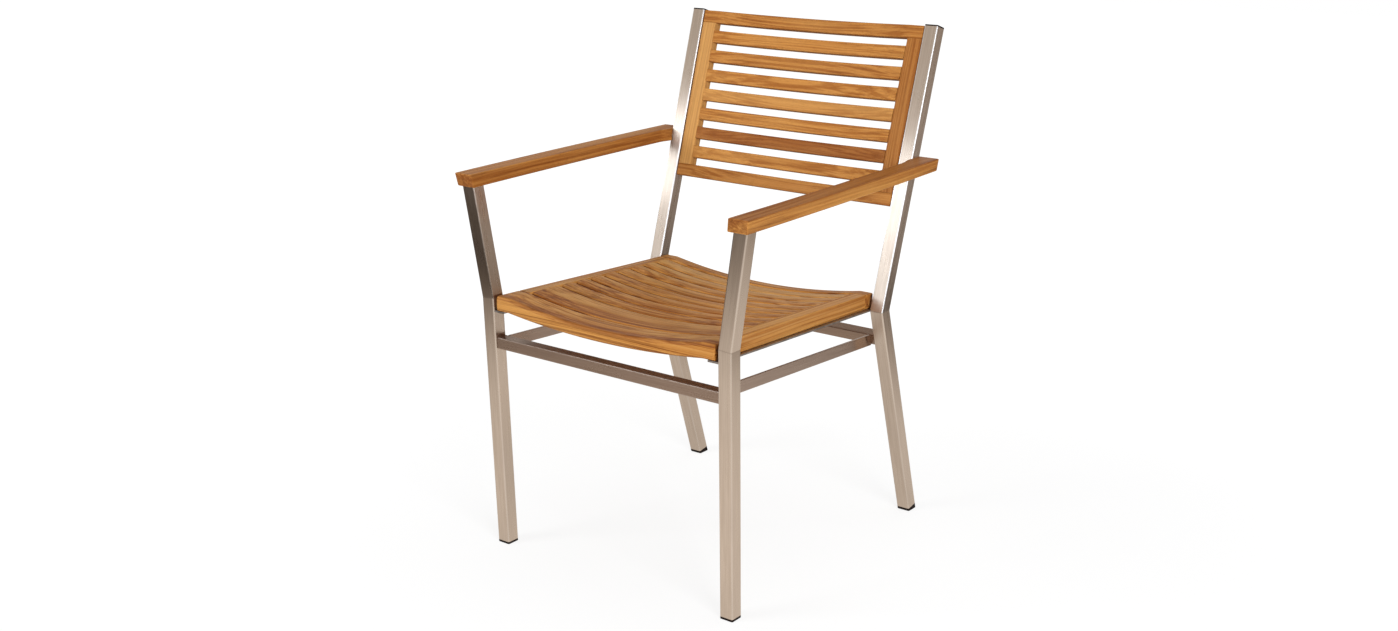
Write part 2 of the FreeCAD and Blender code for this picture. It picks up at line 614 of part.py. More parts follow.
for name, side in SIDES:
    body = new_body("seat_side_" + name,
                    in_seat("%d * seat_side_middle" % side, "seat_front_depth", "0"), SEAT_TURN)
    section = ("-seat_side_width / 2", "-seat_thickness", "seat_side_width / 2", "0")
    sketch = new_sketch(body, "XZ_Plane")
    rectangle(sketch, *section)
    pad(body, sketch, "seat_side_length", flipped=True)
    sketch = new_sketch(body, "XZ_Plane")
    rectangle(sketch, *shrunk(*section, "tenon_shoulder"))
    pad(body, sketch, "tenon_length", "seat_side_length + tenon_length")
    for number in (0, 1):
        start, width, tenon = seat_slat_place(number)
        y0, z0, y1, z1 = shrunk(*tenon, "(-tenon_fit)")
        sketch = new_sketch(body, "YZ_Plane", "%d * seat_side_width / 2" % -side)
        rectangle(sketch, start + " + " + y0, z0, start + " + " + y1, z1)
        mortise = pocket(body, sketch, "tenon_length + tenon_fit", flipped=side > 0)
    repeated(body, mortise, "Y_Axis", "seat_pitch", SEAT_SLATS - 1)
    sketch = new_sketch(body, "XY_Plane", "-seat_thickness")
    for spot in seat_screw_spots:
        octagon(sketch, "%d * (seat_screw_x - seat_side_middle)" % side, spot + " - seat_front_depth",
                "screw_hole")
    pocket(body, sketch, "seat_screw_length - bearer_thickness + hole_fit", flipped=True)


# Bowed back: stiles between top and bottom rail, slats tenoned into the stiles.
def back_rail(label, z, stile_face, cuts_up):
    """Make a full-width rail with flat ends and a bow between them."""
    body = new_body(label, in_back("0", "panel_front", z), BACK_TURN)
    sketch = new_sketch(body, "XY_Plane")
    outline(sketch, [
        ("-panel_half", "0"), ("-back_half", "0"), ("back_half", "0"), ("panel_half", "0"),
        ("panel_half", "panel_thickness"), ("back_half", "panel_thickness"),
        ("-back_half", "panel_thickness"), ("-panel_half", "panel_thickness")],
        {1: ("0", "back_bow"), 5: ("0", "back_bow + panel_thickness")})
    pad(body, sketch, "back_slat_height")
    for side in (1, -1):
        sketch = new_sketch(body, "XY_Plane", stile_face)
        middle = "%d * stile_middle" % side
        hole = shrunk(middle + " - stile_width / 2", "0", middle + " + stile_width / 2",
                      "panel_thickness", "(tenon_shoulder - tenon_fit)")
        rectangle(sketch, *hole)
        pocket(body, sketch, "tenon_length + tenon_fit", flipped=cuts_up)


back_rail("back_top_rail", "upright_length - back_slat_height", "0", True)
back_rail("back_bottom_rail", "panel_bottom", "back_slat_height", False)

back_tenon = shrunk("0", "0", "panel_thickness", "back_slat_height", "tenon_shoulder")
for number in range(1, BACK_SLATS + 1):
    level = "upright_length - back_slat_height - %d * back_pitch" % number
    body = new_body("back_slat_%d" % number, in_back("0", "panel_front", level), BACK_TURN)
    sketch = new_sketch(body, "XY_Plane")
    outline(sketch, [
        ("-back_half", "0"), ("back_half", "0"),
        ("back_half", "panel_thickness"), ("-back_half", "panel_thickness")],
        {0: ("0", "back_bow"), 2: ("0", "back_bow + panel_thickness")})
    pad(body, sketch, "back_slat_height")
    ease(body, lambda edge: near(edge.BoundBox.YMin, "0") and near(edge.BoundBox.XLength, "2 * back_half"),
         "slat_edge", "Chamfer")
    end_tenons(body, "back_half", back_tenon)

tab_levels = ["tab_margin", "stile_length - tab_margin"]
for name, side in SIDES:
    body = new_body("back_stile_" + name,
                    in_back("%d * stile_middle" % side, "panel_front", "panel_bottom + back_slat_height"),
                    BACK_TURN)
    section = ("-stile_width / 2", "0", "stile_width / 2", "panel_thickness")
    sketch = new_sketch(body, "XY_Plane")
    rectangle(sketch, *section)
    pad(body, sketch, "stile_length")
    sketch = new_sketch(body, "XY_Plane")
    rectangle(sketch, *shrunk(*section, "tenon_shoulder"))
    pad(body, sketch, "stile_length + tenon_length", "tenon_length")
    sketch = new_sketch(body, "YZ_Plane", "%d * stile_width / 2" % -side)
    y0, z0, y1, z1 = shrunk(*back_tenon, "(-tenon_fit)")
    rise = "back_pitch - back_slat_height + "
    rectangle(sketch, y0, rise + z0, y1, rise + z1)
    mortise = pocket(body, sketch, "tenon_length + tenon_fit", flipped=side > 0)
    repeated(body, mortise, "Z_Axis", "back_pitch", BACK_SLATS)
    sketch = new_sketch(body, "XZ_Plane", "-panel_thickness")
    for level in tab_levels:
        octagon(sketch, "0", level, "screw_hole")
    pocket(body, sketch, "back_screw_length - tab_thickness + hole_fit", flipped=True)

def arm_outline(body, side, level, lean, inset):
    """Draw the armrest in plan at a level above its underside, moved over as its sides lean, drawn in by inset."""
    sketch = new_sketch(body, "XY_Plane", level)
    halfway = "(arm_hook_start - arm_front_overhang) / 2"
    front = "%s - arm_front_overhang" % inset
    rear = "arm_end - %s" % inset

    def inner(text):
        return "%d * (%s + %s) + %s * %s" % (side, text, inset, level, lean)

    def outer(text):
        return "%d * (%s - %s) + %s * %s" % (side, text, inset, level, lean)

    outline(sketch, [
        (inner("-arm_inner_front"), front), (outer("arm_outer_front"), front),
        (outer("arm_outer_rear"), rear), (inner("arm_lap_x"), rear),
        (inner("arm_lap_x"), "arm_lap_start"), (inner("-arm_inner_waist"), "arm_hook_start")],
        {1: (outer("arm_outer_middle"), halfway), 5: (inner("-arm_inner_middle"), halfway)})
    return sketch


# Armrests: bowed in plan, their sides lean with the posts, notched at the rear to sit on the uprights.
for name, side in SIDES:
    body = new_body("armrest_" + name, ("%d * post_top_x" % side, "post_top_y", "arm_underside"), ARM_TURN)
    lean = "%d * tan(post_splay)" % side
    pad(body, arm_outline(body, side, "0", lean, "0"), "arm_thickness - arm_edge", lean=lean)
    loft(body, [arm_outline(body, side, "(arm_thickness - arm_edge)", lean, "0"),
                arm_outline(body, side, "arm_thickness", lean, "arm_edge")])
    sketch = new_sketch(body, "YZ_Plane")
    outline(sketch, [
        ("-arm_front_overhang", "arm_thickness"), ("arm_front_rake - arm_front_overhang", "0"),
        ("-arm_front_overhang - arm_thickness", "0"),
        ("-arm_front_overhang - arm_thickness", "arm_thickness")])
    pocket(body, sketch)
    sketch = new_sketch(body, "YZ_Plane", "%d * arm_seat_x" % side)
    outline(sketch, [
        ("arm_notch_low", "0"), ("arm_end + tube_size", "0"),
        ("arm_end + tube_size", "arm_thickness"), ("arm_notch_high", "arm_thickness")])
    pocket(body, sketch, "tube_size", flipped=side < 0)
    sketch = new_sketch(body, "XY_Plane")
    octagon(sketch, "0", "0", "stud_hole")
    pocket(body, sketch, "stud_rise + hole_fit", flipped=True)
    sketch = new_sketch(body, "YZ_Plane", "%d * arm_seat_x" % side)
    circle(sketch, "arm_screw_along", "arm_thickness / 2", "screw_hole")
    pocket(body, sketch, "arm_screw_length - tube_wall + hole_fit", flipped=side > 0)


def group(label, members):
    """Keep like pieces together in one node, each its own solid."""
    node = doc.addObject("Part::Compound", label)
    node.Label = label
    node.Links = members
    pieces.append(node)


def prism(label, sides, radius, length):
    """Make a many-sided bar up the Z axis, a corner on the X axis."""
    bar = doc.addObject("Part::Prism", label)
    bar.Polygon = sides
    bind(bar, "Circumradius", radius)
    bind(bar, "Height", length)
    return bar


def wood_screw(label, spot, turn, length):
    """Make a hexagon-head screw: the head lies below its own origin, the shank runs up its Z axis."""
    screw = doc.addObject("Part::Fuse", label)
    screw.Base = prism(label + "_head", 6, "head_radius", "head_height")
    screw.Tool = prism(label + "_shank", 8, "screw_radius", length)
    bind(screw.Base, ".Placement.Base.z", "-head_height")
    place(screw, spot, turn)
    return screw


# Fixings: studs between posts and arms, screws for arms, seat and back, plates behind the stiles.
studs = []
tabs = []
arm_screws = []
seat_screws = []
back_screws = []
for name, side in SIDES:
    post_top = ("%d * post_top_x" % side, "post_top_y", "arm_underside")
    splayed = FRONT_TURN + " * rotationy(%d * post_splay)" % side
    square_bar("block_" + name, post_top, splayed, "bore_size", None, "tube_size", "insert_height", [])
    drilled = doc.addObject("Part::Cut", "drilled_block_" + name)
    drilled.Base = pieces.pop()
    drilled.Tool = prism("stud_hole_" + name, 8, "stud_hole", "stud_depth + hole_fit + 2 * tube_size")
    cut_under_arm("post_insert_" + name, drilled, side)
    stud = prism("stud_" + name, 8, "stud_radius", "stud_depth + stud_rise")
    for bar, depth in ((drilled.Tool, "stud_depth + hole_fit"), (stud, "stud_depth")):
        place(bar, tilted(*post_top[1:], "arm_rise", post_top[0], "0", "-(%s)" % depth), ARM_TURN)
    studs.append(stud)

    seat = "%d * (leg_half + tube_size / 2 - tube_wall)" % side
    arm_screws.append(wood_screw("arm_screw_" + name, (seat, "arm_screw_y", "arm_screw_z"),
                                 BACK_TURN + " * rotationy(%d)" % (90 * side), "arm_screw_length"))
    for number, along in enumerate(seat_screw_spots):
        spot = in_seat("%d * seat_screw_x" % side, along, "-seat_thickness - bearer_thickness")
        seat_screws.append(wood_screw("seat_screw_%s_%d" % (name, number), spot, SEAT_TURN,
                                      "seat_screw_length"))
    for number, level in enumerate(tab_levels):
        up = "panel_bottom + back_slat_height + " + level
        body = new_body("tab_%s_%d" % (name, number),
                        in_back("0", "panel_front + panel_thickness", up), BACK_TURN)
        sketch = new_sketch(body, "XZ_Plane")
        rectangle(sketch, "%d * (leg_inner - tab_width)" % side, "-tab_height / 2",
                  "%d * leg_inner" % side, "tab_height / 2")
        octagon(sketch, "%d * stile_middle" % side, "0", "screw_hole")
        pad(body, sketch, "tab_thickness", flipped=True)
        tabs.append(pieces.pop())
        spot = in_back("%d * stile_middle" % side, "panel_front + panel_thickness + tab_thickness", up)
        back_screws.append(wood_screw("back_screw_%s_%d" % (name, number), spot,
                                      BACK_TURN + " * rotationx(90)", "back_screw_length"))
group("arm_studs", studs)
group("back_tabs", tabs)
group("arm_screws", arm_screws)
group("seat_screws", seat_screws)
group("back_screws", back_screws)

# Nothing is written unless every feature is sound and every piece is a valid solid.
doc.recompute()
for thing in doc.Objects:
    if "Invalid" in thing.State or "Error" in thing.State:
        raise RuntimeError("%s: %s" % (thing.Label, thing.State))
for piece in pieces:
    shape = piece.Shape
    if shape.isNull() or not shape.isValid() or not shape.Solids:
        raise RuntimeError("%s has no valid solid" % piece.Label)
os.makedirs("parts", exist_ok=True)
for piece in pieces:
    piece.Shape.exportStep("parts/%s.step" % piece.Label)
print("%d pieces written" % len(pieces))
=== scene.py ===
import itertools
import bpy
import numpy as np
from mathutils import Matrix, Vector


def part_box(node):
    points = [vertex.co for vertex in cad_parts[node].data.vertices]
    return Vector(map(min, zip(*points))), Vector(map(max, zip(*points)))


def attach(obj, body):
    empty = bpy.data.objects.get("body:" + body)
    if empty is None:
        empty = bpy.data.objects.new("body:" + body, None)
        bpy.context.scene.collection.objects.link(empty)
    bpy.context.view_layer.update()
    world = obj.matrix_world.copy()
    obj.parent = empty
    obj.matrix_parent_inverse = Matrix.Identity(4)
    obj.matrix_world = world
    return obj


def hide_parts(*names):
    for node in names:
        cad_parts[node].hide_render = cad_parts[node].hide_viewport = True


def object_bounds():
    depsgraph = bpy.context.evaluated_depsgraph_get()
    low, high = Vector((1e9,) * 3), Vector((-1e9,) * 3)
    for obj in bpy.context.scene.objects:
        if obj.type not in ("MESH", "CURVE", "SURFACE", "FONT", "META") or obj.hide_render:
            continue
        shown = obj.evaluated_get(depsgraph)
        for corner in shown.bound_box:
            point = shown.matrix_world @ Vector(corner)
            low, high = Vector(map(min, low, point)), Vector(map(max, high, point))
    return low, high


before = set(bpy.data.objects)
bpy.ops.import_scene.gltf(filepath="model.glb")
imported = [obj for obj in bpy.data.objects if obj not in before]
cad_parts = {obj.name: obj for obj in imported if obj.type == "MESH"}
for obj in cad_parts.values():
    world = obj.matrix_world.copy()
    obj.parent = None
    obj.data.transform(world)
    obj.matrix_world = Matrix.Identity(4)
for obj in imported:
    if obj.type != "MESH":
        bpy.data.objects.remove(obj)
cad_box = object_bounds()

# Front legs and arm posts: square stainless tube, satin brushed along its length. Leg and post are cut
# to a mitre at seat height, butt welded and ground flush, so that a faint line shows at the knee.
TUBE = 0.025
TUBE_CORNER = 0.0025
TUBE_STATIONS = 25
LEG_X = 0.2435
FRONT_KNEE = np.array([LEG_X, -0.28633, 0.452])
FRONT_RAKE = np.radians(1.81)
POST_SPLAY = np.radians(8.97)
FRONT_FOOT = 0.004
ARM_UNDERSIDE = 0.6363
ARM_RISE = np.radians(1.17)
UP = np.array([0.0, 0.0, 1.0])
ACROSS = np.array([1.0, 0.0, 0.0])
HANDS = (("left", 1), ("right", -1))
STEEL_COLOUR = (0.60, 0.473, 0.368)
# Near white for the tube corners, its share across a corner's points, and how far the leg corners are
# painted towards it: a painted highlight.
PAINTED_HIGHLIGHT_COLOUR = (1.0, 0.97, 0.93)
HIGHLIGHT_FADE = (0.0, 0.0, 0.5, 1.0, 1.0, 0.5, 0.0, 0.0)
LEG_PAINTED_HIGHLIGHT = 0.12
WELD_WIDTH = 0.0014
TUBE_TURNS, TUBE_SUPPORT = 6, 0.0004
SHARP_ANGLE = np.radians(40)
RIGHT_CORNERS = np.array([1.0, 0.0, 0.0, 1.0])[:, None]
UPPER_CORNERS = np.array([1.0, 1.0, 0.0, 0.0])[:, None]


def corner_turns(points, support):
    """Angles round the four corners of a rectangle, one row each: a quarter circle of so many points, and
    one more before and behind it. Those two slide off along the flat sides by the support, which keeps
    the flats flat when shaded smooth."""
    quarter = np.arange(4)[:, None] * np.pi / 2
    angle = quarter + np.linspace(0, np.pi / 2, points)
    angle = np.concatenate([quarter, angle, quarter + np.pi / 2], axis=1)
    slide = np.zeros_like(angle)
    slide[:, 0] = -support
    slide[:, -1] = support
    return angle, slide


def rounded_outline(half, corner):
    """Rectangle with quarter-circle corners, as points (u, v); half is one half width or a pair."""
    half_u, half_v = np.broadcast_to(half, 2)
    angle, slide = corner_turns(TUBE_TURNS, TUBE_SUPPORT)
    u = (half_u - corner) * (2 * RIGHT_CORNERS - 1) + corner * np.cos(angle) - slide * np.sin(angle)
    v = (half_v - corner) * (2 * UPPER_CORNERS - 1) + corner * np.sin(angle) + slide * np.cos(angle)
    return np.stack([u.ravel(), v.ravel()], axis=1)


def bar_between(start, end, start_plane, end_plane, across, outline, shares):
    """Outline carried along a straight line: every outline point runs parallel to the line, from the
    plane through the start to the plane through the end. Shares are fractions of that run."""
    line = (end - start) / np.linalg.norm(end - start)
    second = np.cross(line, across)
    second /= np.linalg.norm(second)
    first = np.cross(second, line)
    ring = outline[:, :1] * first + outline[:, 1:] * second
    near = -(ring @ start_plane) / (line @ start_plane)
    far = np.linalg.norm(end - start) - (ring @ end_plane) / (line @ end_plane)
    run = near + (far - near) * shares[:, None]
    return start + ring + run[..., None] * line, run


def skin(name, grid, attributes, uv=None):
    """Mesh of a grid that closes round its second index; both ends are closed by a flat face. Edges
    that turn by more than the sharp angle stay sharp."""
    rows, columns = grid.shape[:2]
    index = np.arange(rows * columns).reshape(rows, columns)
    after = np.roll(index, -1, axis=1)
    quads = np.stack([index[:-1], after[:-1], after[1:], index[1:]], axis=-1).reshape(-1, 4)
    faces = quads.tolist() + [index[0, ::-1].tolist(), index[-1].tolist()]
    mesh = bpy.data.meshes.new(name)
    mesh.from_pydata(grid.reshape(-1, 3).tolist(), [], faces)
    for label, values in attributes.items():
        values = np.broadcast_to(values, grid.shape[:2] + values.shape[2:])
        kind, field = ("FLOAT_VECTOR", "vector") if values.ndim == 3 else ("FLOAT", "value")
        layer = mesh.attributes.new(label, kind, "POINT")
        layer.data.foreach_set(field, values.ravel().astype(np.float32))
    if uv is not None:
        corners = np.empty(len(mesh.loops), dtype=np.int32)
        mesh.loops.foreach_get("vertex_index", corners)
        layer = mesh.uv_layers.new(name="UVMap")
        layer.data.foreach_set("uv", uv.reshape(-1, 2)[corners].ravel().astype(np.float32))
    mesh.shade_smooth()
    mesh.set_sharp_from_angle(angle=SHARP_ANGLE)
    piece = bpy.data.objects.new(name, mesh)
    bpy.context.collection.objects.link(piece)
    return piece


def feed(tree, socket, value):
    """Links the socket where the value is a socket too, and otherwise sets it."""
    if isinstance(value, bpy.types.NodeSocket):
        tree.links.new(value, socket)
    else:
        socket.default_value = value


def node(tree, kind, **settings):
    """Adds a shader node; a setting named after an input sets or links it, any other is a property."""
    made = tree.nodes.new(kind)
    for key, value in settings.items():
        socket = made.inputs.get(key.replace("_", " "))
        if socket is None:
            setattr(made, key, value)
        else:
            feed(tree, socket, value)
    return made


def attribute(tree, name, output="Fac"):
    """Values that a piece's mesh carries at its points."""
    return node(tree, "ShaderNodeAttribute", attribute_name=name).outputs[output]


def maths(tree, operation, first, second):
    """One sum on two numbers; either may be a socket."""
    made = node(tree, "ShaderNodeMath", operation=operation)
    feed(tree, made.inputs[0], first)
    feed(tree, made.inputs[1], second)
    return made.outputs[0]


def between(tree, value, low, high, to_low=0.0, to_high=1.0):
    """Carries a number from one range to another, held inside it, with a soft start and end."""
    made = node(tree, "ShaderNodeMapRange", interpolation_type="SMOOTHSTEP", Value=value,
                From_Min=low, From_Max=high, To_Min=to_low, To_Max=to_high)
    return made.outputs["Result"]


def noise(tree, place, scale, detail, roughness=0.5, output="Fac"):
    """Cloudy pattern about one half; scale gives its cells per unit along each of the three axes."""
    place = node(tree, "ShaderNodeMapping", Vector=place, Scale=scale).outputs["Vector"]
    made = node(tree, "ShaderNodeTexNoise", Vector=place, Scale=1.0, Detail=detail, Roughness=roughness)
    return made.outputs[output]


def mixed(tree, kind, share, first, second):
    """Blends two colours; kind is the way they are blended."""
    made = node(tree, "ShaderNodeMix", data_type="RGBA", blend_type=kind)
    feed(tree, made.inputs[0], share)
    for socket, colour in ((made.inputs[6], first), (made.inputs[7], second)):
        feed(tree, socket, (*colour, 1.0) if isinstance(colour, tuple) else colour)
    return made.outputs[2]


def relief(tree, shader, height, strength, depth):
    """Fine relief in the shading alone: a pattern of heights, depth in metres from lowest to highest."""
    bump = node(tree, "ShaderNodeBump", Height=height, Strength=strength, Distance=depth)
    tree.links.new(bump.outputs["Normal"], shader.inputs["Normal"])


def new_material(name):
    """Empty material with a shader that the caller fills in."""
    made = bpy.data.materials.new(name)
    made.use_nodes = True
    return made, made.node_tree, made.node_tree.nodes["Principled BSDF"]


def brushed_steel(name, colour):
    """Satin stainless: fine lines along the tube, soft cloudy wear, corners painted towards near white as a
    painted highlight, and a thin dull line at each weld. The lines spread reflections round the tube, not
    along it."""
    made, tree, shader = new_material(name)
    surface = node(tree, "ShaderNodeUVMap", uv_map="UVMap").outputs["UV"]
    lines = noise(tree, surface, (2600, 22, 1), 4.0, 0.7)
    wear = noise(tree, surface, (30, 9, 1), 5.0, 0.6)
    streak = noise(tree, surface, (520, 7, 1), 3.0, 0.6)
    band = between(tree, attribute(tree, "weld"), 0.0, WELD_WIDTH, 1.0, 0.0)
    dull = tuple(0.88 * part for part in colour)
    tone = mixed(tree, "MIX", between(tree, lines, 0.25, 0.75), dull, colour)
    tone = mixed(tree, "MULTIPLY", between(tree, streak, 0.35, 0.7), tone, (0.86, 0.84, 0.82))
    # The corner attribute paints the corners towards near white: a painted highlight.
    tone = mixed(tree, "MIX", attribute(tree, "corner"), tone, PAINTED_HIGHLIGHT_COLOUR)
    tone = mixed(tree, "MULTIPLY", maths(tree, "MULTIPLY", band, 0.35), tone, (0.55, 0.50, 0.46))
    tree.links.new(tone, shader.inputs["Base Color"])
    rough = between(tree, wear, 0.3, 0.7, 0.23, 0.29)
    rough = maths(tree, "ADD", rough, maths(tree, "MULTIPLY", lines, 0.06))
    rough = maths(tree, "ADD", rough, maths(tree, "MULTIPLY", band, 0.12))
    tree.links.new(rough, shader.inputs["Roughness"])
    relief(tree, shader, lines, 0.04, 0.0002)
    round_tube = node(tree, "ShaderNodeTangent", direction_type="UV_MAP", uv_map="UVMap")
    tree.links.new(round_tube.outputs["Tangent"], shader.inputs["Tangent"])
    shader.inputs["Anisotropic"].default_value = 1.0
    shader.inputs["Metallic"].default_value = 1.0
    return made


TUBE_STEEL = brushed_steel("brushed_steel", STEEL_COLOUR)


def tube_piece(name, start, end, start_plane, end_plane, across, welds, painted_highlight=LEG_PAINTED_HIGHLIGHT, size=TUBE,
               corner=TUBE_CORNER, material=TUBE_STEEL):
    """One straight length of square tube or flat bar. Welds name the ends that are welded, and the weld
    attribute holds the distance to the nearest of them. The painted highlight is how far the corners are
    painted towards near white in their middle; it fades out over each corner's points."""
    outline = rounded_outline(np.asarray(size) / 2, corner)
    # Share of the painted highlight at every point of the outline, carried by the corner attribute.
    corner_highlight = painted_highlight * np.tile(HIGHLIGHT_FADE, 4)[None]
    shares = np.linspace(0, 1, TUBE_STATIONS)
    grid, run = bar_between(start, end, start_plane, end_plane, across, outline, shares)
    to_end = {"start": shares[:, None], "end": 1 - shares[:, None]}
    weld = np.linalg.norm(end - start) * np.minimum.reduce([to_end[label] for label in welds])
    step = np.linalg.norm(np.diff(outline, axis=0, append=outline[:1]), axis=1)
    round_tube = np.cumsum(step) - step
    uv = np.stack([np.broadcast_to(round_tube, run.shape), run], axis=-1)
    piece = skin(name, grid, {"weld": weld, "corner": corner_highlight}, uv)
    piece.data.materials.append(material)
    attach(piece, "root")
    return piece


def mirrored(point, side):
    """The same point on the left (+1) or right (-1) of the chair."""
    return point * np.array([side, 1.0, 1.0])


leg_line = np.array([0.0, -np.sin(FRONT_RAKE), np.cos(FRONT_RAKE)])
post_line = np.array([np.sin(POST_SPLAY), -np.cos(POST_SPLAY) * np.sin(FRONT_RAKE),
                      np.cos(POST_SPLAY) * np.cos(FRONT_RAKE)])
front_foot_end = FRONT_KNEE - leg_line * (FRONT_KNEE[2] - FRONT_FOOT) / leg_line[2]
post_top = FRONT_KNEE + post_line * (ARM_UNDERSIDE - FRONT_KNEE[2]) / post_line[2]
arm_up = np.array([0.0, -np.sin(ARM_RISE), np.cos(ARM_RISE)])
for hand, side in HANDS:
    knee_plane = mirrored(leg_line + post_line, side)
    knee = mirrored(FRONT_KNEE, side)
    leg = tube_piece("leg_front_" + hand, mirrored(front_foot_end, side), knee, UP, knee_plane, ACROSS,
                     ["end"])
    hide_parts("front_leg_" + hand)
    post = tube_piece("post_" + hand, knee, mirrored(post_top, side), knee_plane, arm_up, ACROSS, ["start"])
    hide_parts("arm_post_" + hand)

# Rear legs and back uprights: the same tube, mitred and welded at the rear knee. The leg runs back to
# the floor and ends in a slanting cut; the upright leans back and is cut square under its cap.
REAR_KNEE = np.array([LEG_X, 0.15647, 0.414])
UPRIGHT_LEAN = np.radians(16.43)
REAR_FOOT = 0.0076
REAR_FOOT_WEDGE = np.radians(10.5)
CAP = 0.0022
HEIGHT = cad_box[1][2]
FOOT_INSET = 0.00301
# How far the upright corners are painted towards near white: a painted highlight.
UPRIGHT_PAINTED_HIGHLIGHT = 0.85
upright_overhang = (HEIGHT - REAR_KNEE[2]) * np.tan(UPRIGHT_LEAN)
rear_rake = np.arctan2(upright_overhang - FOOT_INSET, REAR_KNEE[2] - REAR_FOOT)
rear_line = np.array([0.0, -np.sin(rear_rake), np.cos(rear_rake)])
back_up = np.array([0.0, np.sin(UPRIGHT_LEAN), np.cos(UPRIGHT_LEAN)])
back_rear = np.array([0.0, np.cos(UPRIGHT_LEAN), -np.sin(UPRIGHT_LEAN)])
rear_foot_end = REAR_KNEE - rear_line * (REAR_KNEE[2] - REAR_FOOT) / rear_line[2]
wedge_plane = np.array([0.0, -np.sin(REAR_FOOT_WEDGE), np.cos(REAR_FOOT_WEDGE)])
knee_plane = rear_line + back_up
upright_rise = HEIGHT - REAR_KNEE[2] - TUBE / 2 * np.sin(UPRIGHT_LEAN)
upright_length = upright_rise / np.cos(UPRIGHT_LEAN) - CAP
for hand, side in HANDS:
    knee = mirrored(REAR_KNEE, side)
    leg = tube_piece("leg_rear_" + hand, mirrored(rear_foot_end, side), knee, wedge_plane, knee_plane,
                     ACROSS, ["end"])
    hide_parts("rear_leg_" + hand)
    upright_end = knee + back_up * upright_length
    upright = tube_piece("upright_" + hand, knee, upright_end, knee_plane, back_up, ACROSS, ["start"],
                         UPRIGHT_PAINTED_HIGHLIGHT)
    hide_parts("back_upright_" + hand)

# Rails under the seat: smaller square tube of the same steel, raked like the legs and butt welded between
# them in front and behind, and between those two a flat bar on edge at each side.
RAIL = 0.020
RAIL_CORNER = 0.002
# How far the rail and bar corners are painted towards near white: a painted highlight.
RAIL_PAINTED_HIGHLIGHT = 0.08
# The rails take a darker copy of the tube steel: painted shade under the seat.
SHADED_RAIL_STEEL = brushed_steel("rail_steel_painted_shade", (0.325, 0.216, 0.152))
FRONT_RAIL_DROP, REAR_RAIL_DROP = 0.0772, 0.0546
BAR_THICK, BAR_HEIGHT = 0.004, 0.020
BAR_CORNER = 0.0006
BAR_INSET = 0.008
BAR_LIFT, BAR_DROP = 0.0011, 0.0043
# The side bars take a darker copy of the tube steel too: painted shade under the seat.
SHADED_BAR_STEEL = brushed_steel("bar_steel_painted_shade", (0.52, 0.385, 0.30))
leg_inner = (LEG_X - TUBE / 2) * ACROSS
on_centre = np.array([0.0, 1.0, 1.0])
front_rail_middle = on_centre * (FRONT_KNEE - leg_line / leg_line[2] * FRONT_RAIL_DROP)
rear_rail_middle = on_centre * (REAR_KNEE - rear_line / rear_line[2] * REAR_RAIL_DROP)
for label, middle, line in (("front_rail", front_rail_middle, leg_line),
                            ("rear_rail", rear_rail_middle, rear_line)):
    rail = tube_piece(label + "_tube", middle - leg_inner, middle + leg_inner, ACROSS, ACROSS, line,
                      ["start", "end"], RAIL_PAINTED_HIGHLIGHT, RAIL, RAIL_CORNER, SHADED_RAIL_STEEL)
    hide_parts(label)
bar_line = rear_rail_middle - front_rail_middle - (BAR_LIFT + BAR_DROP) * UP
bar_line /= np.linalg.norm(bar_line)
front_face, rear_face = np.cross(leg_line, ACROSS), np.cross(rear_line, ACROSS)
front_reach = (RAIL / 2 - BAR_LIFT * front_face[2]) / (bar_line @ front_face)
rear_reach = (RAIL / 2 - BAR_DROP * rear_face[2]) / (bar_line @ rear_face)
bar_start = front_rail_middle + BAR_LIFT * UP + front_reach * bar_line
bar_end = rear_rail_middle - BAR_DROP * UP - rear_reach * bar_line
bar_size = (BAR_THICK, BAR_HEIGHT * bar_line[1])
for hand, side in HANDS:
    aside = side * (leg_inner - (BAR_INSET + BAR_THICK / 2) * ACROSS)
    bar = tube_piece("side_bar_" + hand, bar_start + aside, bar_end + aside, front_face, rear_face, ACROSS,
                     ["start", "end"], RAIL_PAINTED_HIGHLIGHT, bar_size, BAR_CORNER, SHADED_BAR_STEEL)
    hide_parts("side_rail_" + hand)


# Seat bearers, back tabs and fixings: flat steel bars and plates welded to the tubes, and plain steel
# hexagon screws, studs and inserts that hold the teak on them.
def plain_steel():
    """Rolled flat bar: cloudy grey steel with fine scratches, on the piece's own coordinates."""
    made, tree, shader = new_material("plain_steel")
    place = node(tree, "ShaderNodeTexCoord").outputs["Object"]
    cloud = noise(tree, place, (60, 60, 60), 6.0)
    scratch = noise(tree, place, (1500, 30, 1500), 3.0)
    tone = mixed(tree, "MIX", between(tree, cloud, 0.3, 0.7), (0.30, 0.25, 0.21), (0.40, 0.34, 0.29))
    tree.links.new(tone, shader.inputs["Base Color"])
    rough = between(tree, cloud, 0.3, 0.7, 0.30, 0.42)
    rough = maths(tree, "ADD", rough, maths(tree, "MULTIPLY", scratch, 0.1))
    tree.links.new(rough, shader.inputs["Roughness"])
    relief(tree, shader, scratch, 0.15, 0.0002)
    shader.inputs["Metallic"].default_value = 1.0
    return made


def finish_node(label, material):
    """Gives a CAD piece that keeps its own shape a better material."""
    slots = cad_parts[label].data.materials
    slots.clear()
    slots.append(material)


PLAIN_STEEL = plain_steel()
for label in ("seat_bearer_left", "seat_bearer_right", "back_tabs", "post_insert_left", "post_insert_right",
              "arm_studs", "arm_screws", "seat_screws", "back_screws"):
    finish_node(label, PLAIN_STEEL)


